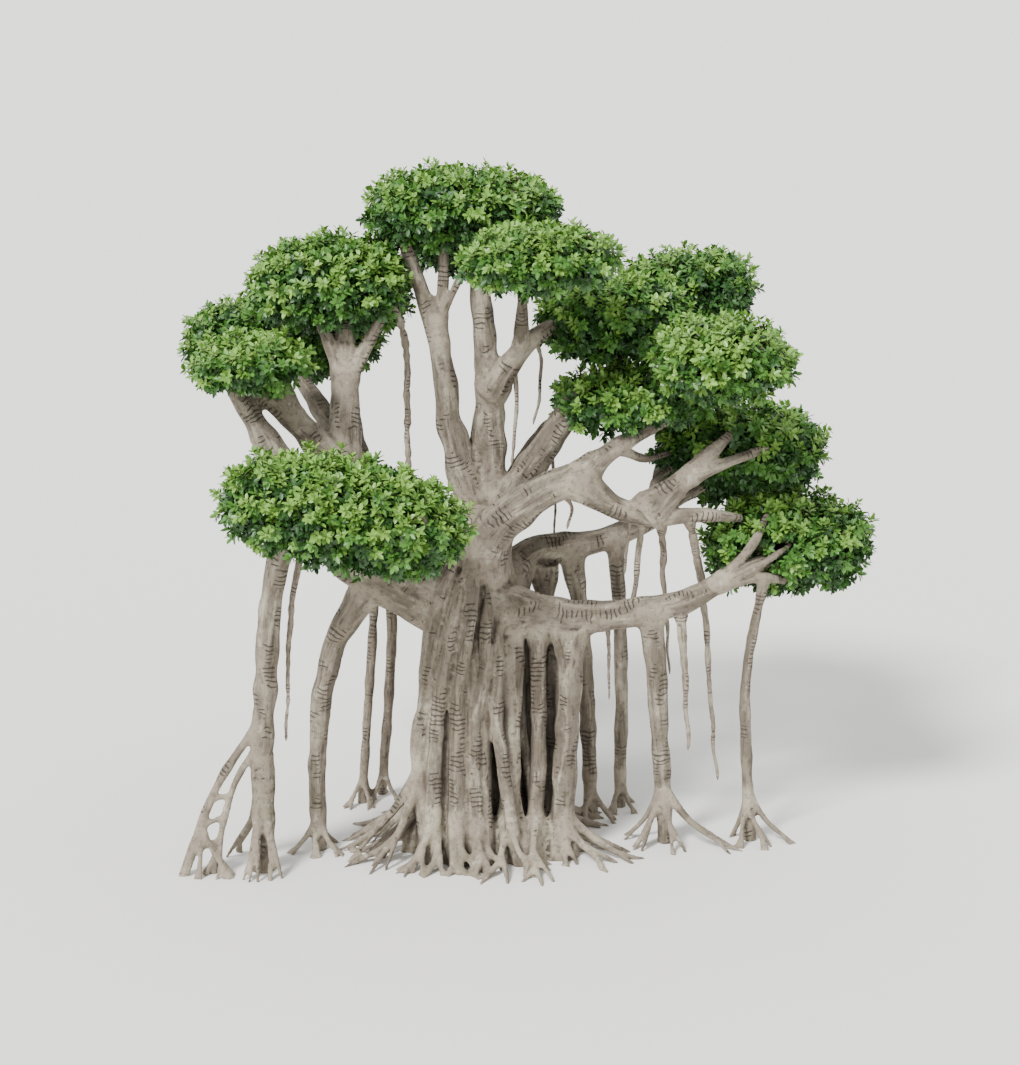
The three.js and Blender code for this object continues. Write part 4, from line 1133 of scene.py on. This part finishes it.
stem_lines, twig_lines, branchlet_lines, sprays = [], [], [], []
for number, pad in enumerate(PADS):
    bulges, aims = pad_growth(pad, seeded(7 + number))
    chance = np.random.default_rng(300 + number)
    line, radii = LIMBS[pad[1]]
    tip, before = line[-1], line[-3]
    heart = within(pad, np.array([[0, 0, -0.2]]), np.ones(1))[0]
    stem = smooth_line([before, tip + unit(tip - before) * STEM_OUT, heart], 0.1)
    thick, thin = (radii[-6:].max() * share for share in STEM_TAPER)
    stem_lines.append((stem, np.linspace(thick, thin, len(stem))))
    main_spots = []
    for end in within(pad, aims, np.full(len(aims), TWIG_REACH)):
        lift = np.array([0, 0, TWIG_ARCH]) * np.linalg.norm(end - heart)
        twig = bezier(heart, (heart + end) / 2 + lift, end, 9)
        twig_lines.append((twig, np.linspace(*TWIG_RADII, len(twig))))
        main_spots.append(twig[3:])
    main_spots = np.vstack(main_spots)
    heads, outward = spread_over(pad, bulges, chance, CLUMP_GAP, CLUMP_TRIES, LAYERED)
    hubs = heads - outward * CLUMP_DEPTH
    clear = room_round(hubs) > HUB_ROOM
    heads, hubs = heads[clear], hubs[clear]
    tall = chance.uniform(*CLUMP_HEIGHTS, len(heads))
    for hub in hubs:
        root = main_spots[np.argmin(np.linalg.norm(main_spots - hub, axis=1))]
        bend = (root + hub) / 2 + chance.normal(size=3) * BRANCHLET_BEND
        branchlet_lines.append((bezier(root, bend, hub, 5), np.linspace(*BRANCHLET_RADII, 5)))
    for gap, inner in ((SPRAY_GAP, False), (INNER_GAP, True)):
        spots, out = spread_over(pad, bulges, chance, gap, SPRAY_TRIES)
        clump, off = nearest(spots * LAYERED, heads * LAYERED)
        aside = (spots - heads[clump]) * LAYERED / CLUMP_REACH
        rise = tall[clump] * (1 - 2 * np.minimum(off / CLUMP_REACH, 1) ** 2)
        noise = chance.normal(size=out.shape)
        if inner:
            spots = spots - out * INNER_DEPTH
            way = unit(out * INNER_OUT + noise * INNER_CHOICE)
            rise = np.full(len(spots), DEEPEST)
        else:
            spots = spots + out * SCALLOP * rise[:, None]
            way = unit(out + aside * ASIDE + noise * OUTER_CHOICE + UPWARD)
        sprays.append((hubs[clump], spots, way, np.full(len(spots), number), rise))
sprays = [np.concatenate(column) for column in zip(*sprays)]
clear = room_round(sprays[1]) > SPRAY_ROOM
stalk_from, stalk_to, spray_axis, spray_pad, spray_rise = (column[clear] for column in sprays)
print(len(branchlet_lines), "clumps,", len(stalk_to), "sprays,", len(stalk_to) * LEAVES, "leaves")

# %% Twigs and stalks
def mesh_piece(name, points, corners_per_face, index):
    """A mesh from arrays of points and of faces that all have as many corners."""
    data = bpy.data.meshes.new(name)
    faces = len(index) // corners_per_face
    data.vertices.add(len(points))
    data.vertices.foreach_set("co", points.astype(np.float32).ravel())
    data.loops.add(len(index))
    data.loops.foreach_set("vertex_index", index.astype(np.int32))
    data.polygons.add(faces)
    data.polygons.foreach_set("loop_start", np.arange(faces, dtype=np.int32) * corners_per_face)
    data.update(calc_edges=True)
    piece = bpy.data.objects.new(name, data)
    bpy.context.collection.objects.link(piece)
    return piece


def stalks(name, starts, ends, thick, thin):
    """Three-sided tapering stalks, closed at both ends."""
    ahead = unit(ends - starts)
    side = unit(np.cross(ahead, (0.3, 0.2, 0.93)))
    over = np.cross(ahead, side)
    points = np.stack([middle + turned(side, over, k, 3) * radius
                       for middle, radius in ((starts, thick), (ends, thin))
                       for k in range(3)], axis=1)
    shape = np.array([0, 1, 4, 0, 4, 3, 1, 2, 5, 1, 5, 4, 2, 0, 3, 2, 3, 5, 0, 2, 1, 3, 4, 5])
    index = (shape + 6 * np.arange(len(starts))[:, None]).ravel()
    return mesh_piece(name, points.reshape(-1, 3), 3, index)


STALK_RADII = 0.012, 0.006
stems = sweep("pad_stems", stem_lines, 3)
twigs = sweep("twigs", twig_lines, 1)
branchlets = sweep("branchlets", branchlet_lines, 0)
stalk_piece = stalks("spray_stalks", stalk_from, stalk_to, *STALK_RADII)
for piece in (stems, twigs, branchlets, stalk_piece):
    print(piece.name, triangles_in(piece), "triangles")

# %% [markdown]
# A banyan leaf is a broad oval with a short blunt tip, folded a little along its
# midrib and drooping at the end. Four faces are enough for its outline: two quads, one
# on each side of the midrib.

# %% Leaves
LEAF = np.array([(0, 0, 0), (0.27, 0.3, 0.05), (0.23, 0.72, 0.02), (0, 1, -0.1),
                 (-0.23, 0.72, 0.02), (-0.27, 0.3, 0.05)])
LEAF_FACES = np.array([0, 1, 2, 3, 0, 3, 4, 5])
STAND_BACK, OPEN_ANGLES, ANGLE_CHOICE = (0.24, 0.0), (96, 34), 16
DROOP, FACE_UP, FACE_CHOICE, OFF_THE_AXIS = 0.12, 0.55, 0.22, 0.012


def leaf_points(tips, axes, larger, chance):
    """The corners of all leaves of the sprays, as an array of spray, leaf, corner, place."""
    count = len(tips), LEAVES
    side = unit(np.cross(axes, (0.2, 0.1, 0.97)))
    over = np.cross(side, axes)
    axes = axes[:, None]
    turn = (GOLDEN * np.arange(LEAVES) + chance.uniform(0, 6.3, (len(tips), 1)))[..., None]
    back = np.linspace(*STAND_BACK, LEAVES) + chance.uniform(-0.01, 0.01, count)
    choice = chance.uniform(-ANGLE_CHOICE, ANGLE_CHOICE, count)
    open_angle = np.radians(np.linspace(*OPEN_ANGLES, LEAVES) + choice)[..., None]
    radial = side[:, None] * np.cos(turn) + over[:, None] * np.sin(turn)
    ahead = axes * np.cos(open_angle) + radial * np.sin(open_angle)
    ahead = unit(ahead - np.array([0, 0, DROOP]))
    face = axes + np.array([0, 0, FACE_UP]) + chance.normal(size=ahead.shape) * FACE_CHOICE
    face = unit(face - ahead * (face * ahead).sum(-1, keepdims=True))
    across = np.cross(ahead, face)
    size = (chance.uniform(*LEAF_LENGTH, count) * larger[:, None])[..., None, None]
    root = tips[:, None] - axes * back[..., None] + radial * OFF_THE_AXIS
    shape = (across[:, :, None] * LEAF[:, 0:1] + ahead[:, :, None] * LEAF[:, 1:2]
             + face[:, :, None] * LEAF[:, 2:3])
    return root[:, :, None] + shape * size


chance = np.random.default_rng(77)
larger = np.where(spray_rise == DEEPEST, INNER_LEAVES, 1)
leaves = leaf_points(stalk_to, spray_axis, larger, chance)
print(leaves.shape[0] * leaves.shape[1] * 4, "triangles of leaves")

# %% [markdown]
# The colour is dealt out by spray, from three tones of one leaf, partly by the leaves' age and
# partly as painted light and shade. Sprays that face up, at the top of a pad and on the crown of a
# clump, are young and painted lit; those underneath, inside and between two clumps are old and
# painted in shade; and chance mixes them. Pads towards the front are painted a little lighter, so
# that one pad stands out against the next.

# %% Leaf materials
LIGHT_FROM, MID_FROM = 0.45, -0.25
BY_HEADING, BY_DEPTH, BY_CHANCE, BY_RISE = 0.9, -0.1, 0.4, 0.5


def leaf_material(name, base, fresh):
    """A leathery fig leaf with a waxy skin, which shines softly where it faces a light."""
    made = material(name)
    tree = made.node_tree
    place = add(tree, "TexCoord").outputs["Object"]
    broad, veins = (add(tree, "TexNoise", {"Scale": scale, "Detail": detail}, {"Vector": place})
                    for scale, detail in ((2.2, 3), (60, 2)))
    shade = add(tree, "MapRange", {1: 0.35, 2: 0.65}, {0: broad})
    tint = add(tree, "Mix", {"data_type": "RGBA", 6: colour(base), 7: colour(fresh)}, {0: shade})
    bump = add(tree, "Bump", {"Strength": 0.25, "Distance": 0.004}, {"Height": veins})
    surface = add(tree, "BsdfPrincipled",
                  {"Roughness": 0.42, "IOR": 1.45, "Coat Weight": 0.12, "Coat Roughness": 0.3},
                  {"Base Color": tint, "Normal": bump})
    add(tree, "OutputMaterial", links={"Surface": surface})
    return made


# Three tones of one leaf, from painted lit to painted shade; they also stand for young, grown and
# old leaves.
TONES = {
    "light": leaf_material("fig_leaf_young_painted_lit", "#5f8a35", "#7da548"),
    "mid": leaf_material("fig_leaf_grown_painted_half_shade", "#44702c", "#578535"),
    "deep": leaf_material("fig_leaf_old_painted_shade", "#27491e", "#365d27"),
}
# The score paints light and shade: sprays facing up, on clump crowns and in front pads come out
# lighter, inner ones darker.
sunny = BY_DEPTH * np.clip([pad[2][1] for pad in PADS], -3, 3)
score = spray_axis[:, 2] * BY_HEADING + sunny[spray_pad]
score += chance.normal(size=len(spray_pad)) * BY_CHANCE
score += BY_RISE * spray_rise
tone_of_spray = np.where(score > LIGHT_FROM, "light", np.where(score > MID_FROM, "mid", "deep"))
print({tone: int((tone_of_spray == tone).sum()) for tone in TONES}, "sprays")

# %% Leaf pieces
FOLIAGE_NODES = np.array([f"foliage_{pad[0]}" for pad in PADS])
for tone, finish in TONES.items():
    chosen = np.flatnonzero(tone_of_spray == tone)
    chosen = chosen[np.argsort(spray_pad[chosen], kind="stable")]
    batches = math.ceil(len(chosen) * LEAVES * 4 / MOST_TRIANGLES)
    for k, batch in enumerate(np.array_split(chosen, batches)):
        points = leaves[batch].reshape(-1, 3)
        index = (LEAF_FACES + 6 * np.arange(len(points) // 6)[:, None]).ravel()
        piece = mesh_piece(f"leaves_{tone}_{k + 1}", points, 4, index)
        nodes = FOLIAGE_NODES[np.unique(spray_pad[batch])]
        finish_piece(piece, finish, nodes.tolist())
        print(piece.name, triangles_in(piece), "triangles")
for piece in (twigs, branchlets, stalk_piece):
    keep_on_corners(piece, "grain", read_points(piece))
    finish_piece(piece, twig_bark, FOLIAGE_NODES.tolist())
keep_on_corners(stems, "grain", limb_space(read_points(stems), bark_samples(stem_lines))[0])
shade_smooth(stems)
finish_piece(stems, old_bark, FOLIAGE_NODES.tolist())

# %% [markdown]
# ## The studio
# A plain pale floor, a broad soft sun from the upper left, and a pale sky that fills
# the shade. The floor is matt, so it sends back the same light every way. Seen
# directly, the sky is as bright as the lit floor, and the horizon disappears. The
# camera looks slightly down, as the drawing does: the toes spread below the trunk's
# foot in the picture.

# %% Floor, light and camera
FLOOR_RADIUS = 900
bpy.ops.object.select_all(action="DESELECT")
bpy.ops.mesh.primitive_circle_add(vertices=96, radius=FLOOR_RADIUS, fill_type="NGON")
floor = bpy.context.object
floor.name = "floor"
PAPER = colour("#ecebe7")
paper = material("pale_floor")
surface = add(paper.node_tree, "BsdfPrincipled",
              {"Base Color": PAPER, "Roughness": 1.0, "Specular IOR Level": 0.0})
add(paper.node_tree, "OutputMaterial", links={"Surface": surface})
floor.data.materials.append(paper)
floor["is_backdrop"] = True

SUN_POWER, SUN_SPREAD = 5.2, math.radians(14)
SUN_TILT, SUN_TURN = math.radians(47), math.radians(-33)
SKY, SKY_POWER = colour("#f4f5f6"), 1.35
sun_on_floor = SUN_POWER * math.cos(SUN_TILT) / math.pi
lit_floor = [p * (sun_on_floor + SKY_POWER * s) for p, s in zip(PAPER[:3], SKY)]
world = bpy.data.worlds.new("studio")
world.use_nodes = True
world.node_tree.nodes.clear()
fill = add(world.node_tree, "Background", {"Color": SKY, "Strength": SKY_POWER})
seen = add(world.node_tree, "Background", {"Color": (*lit_floor, 1), "Strength": 1.0})
direct = add(world.node_tree, "LightPath").outputs["Is Camera Ray"]
sky = add(world.node_tree, "MixShader", links={0: direct, 1: fill, 2: seen})
add(world.node_tree, "OutputWorld", links={"Surface": sky})
bpy.context.scene.world = world

bpy.ops.object.light_add(type="SUN", rotation=(SUN_TILT, 0, SUN_TURN))
key = bpy.context.object
key.data.energy = SUN_POWER
key.data.angle = SUN_SPREAD

DISTANCE, ELEVATION = 49.31, math.radians(12)
AIM = Vector((0.458, 0, 7.27))
back = Vector((0, -math.cos(ELEVATION), math.sin(ELEVATION)))
bpy.ops.object.camera_add(location=AIM + back * DISTANCE,
                          rotation=(math.pi / 2 - ELEVATION, 0, 0))
camera = bpy.context.object
camera.data.lens = 75
camera.data.sensor_width = 36
camera.data.clip_end = 3000
bpy.context.scene.camera = camera
print("camera at", tuple(round(c, 3) for c in camera.location))

# %% [markdown]
# ## Size
# Both boxes, of the solids and of the dressed tree, are printed. The dressed tree
# has to keep to the space of the solids.

# %% Print the sizes
dressed_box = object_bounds()
boxes = {"solid": [list(p) for p in solid_box], "dressed": [list(p) for p in dressed_box]}
for name, box in boxes.items():
    print(name, "box", [[round(c, 2) for c in p] for p in box])
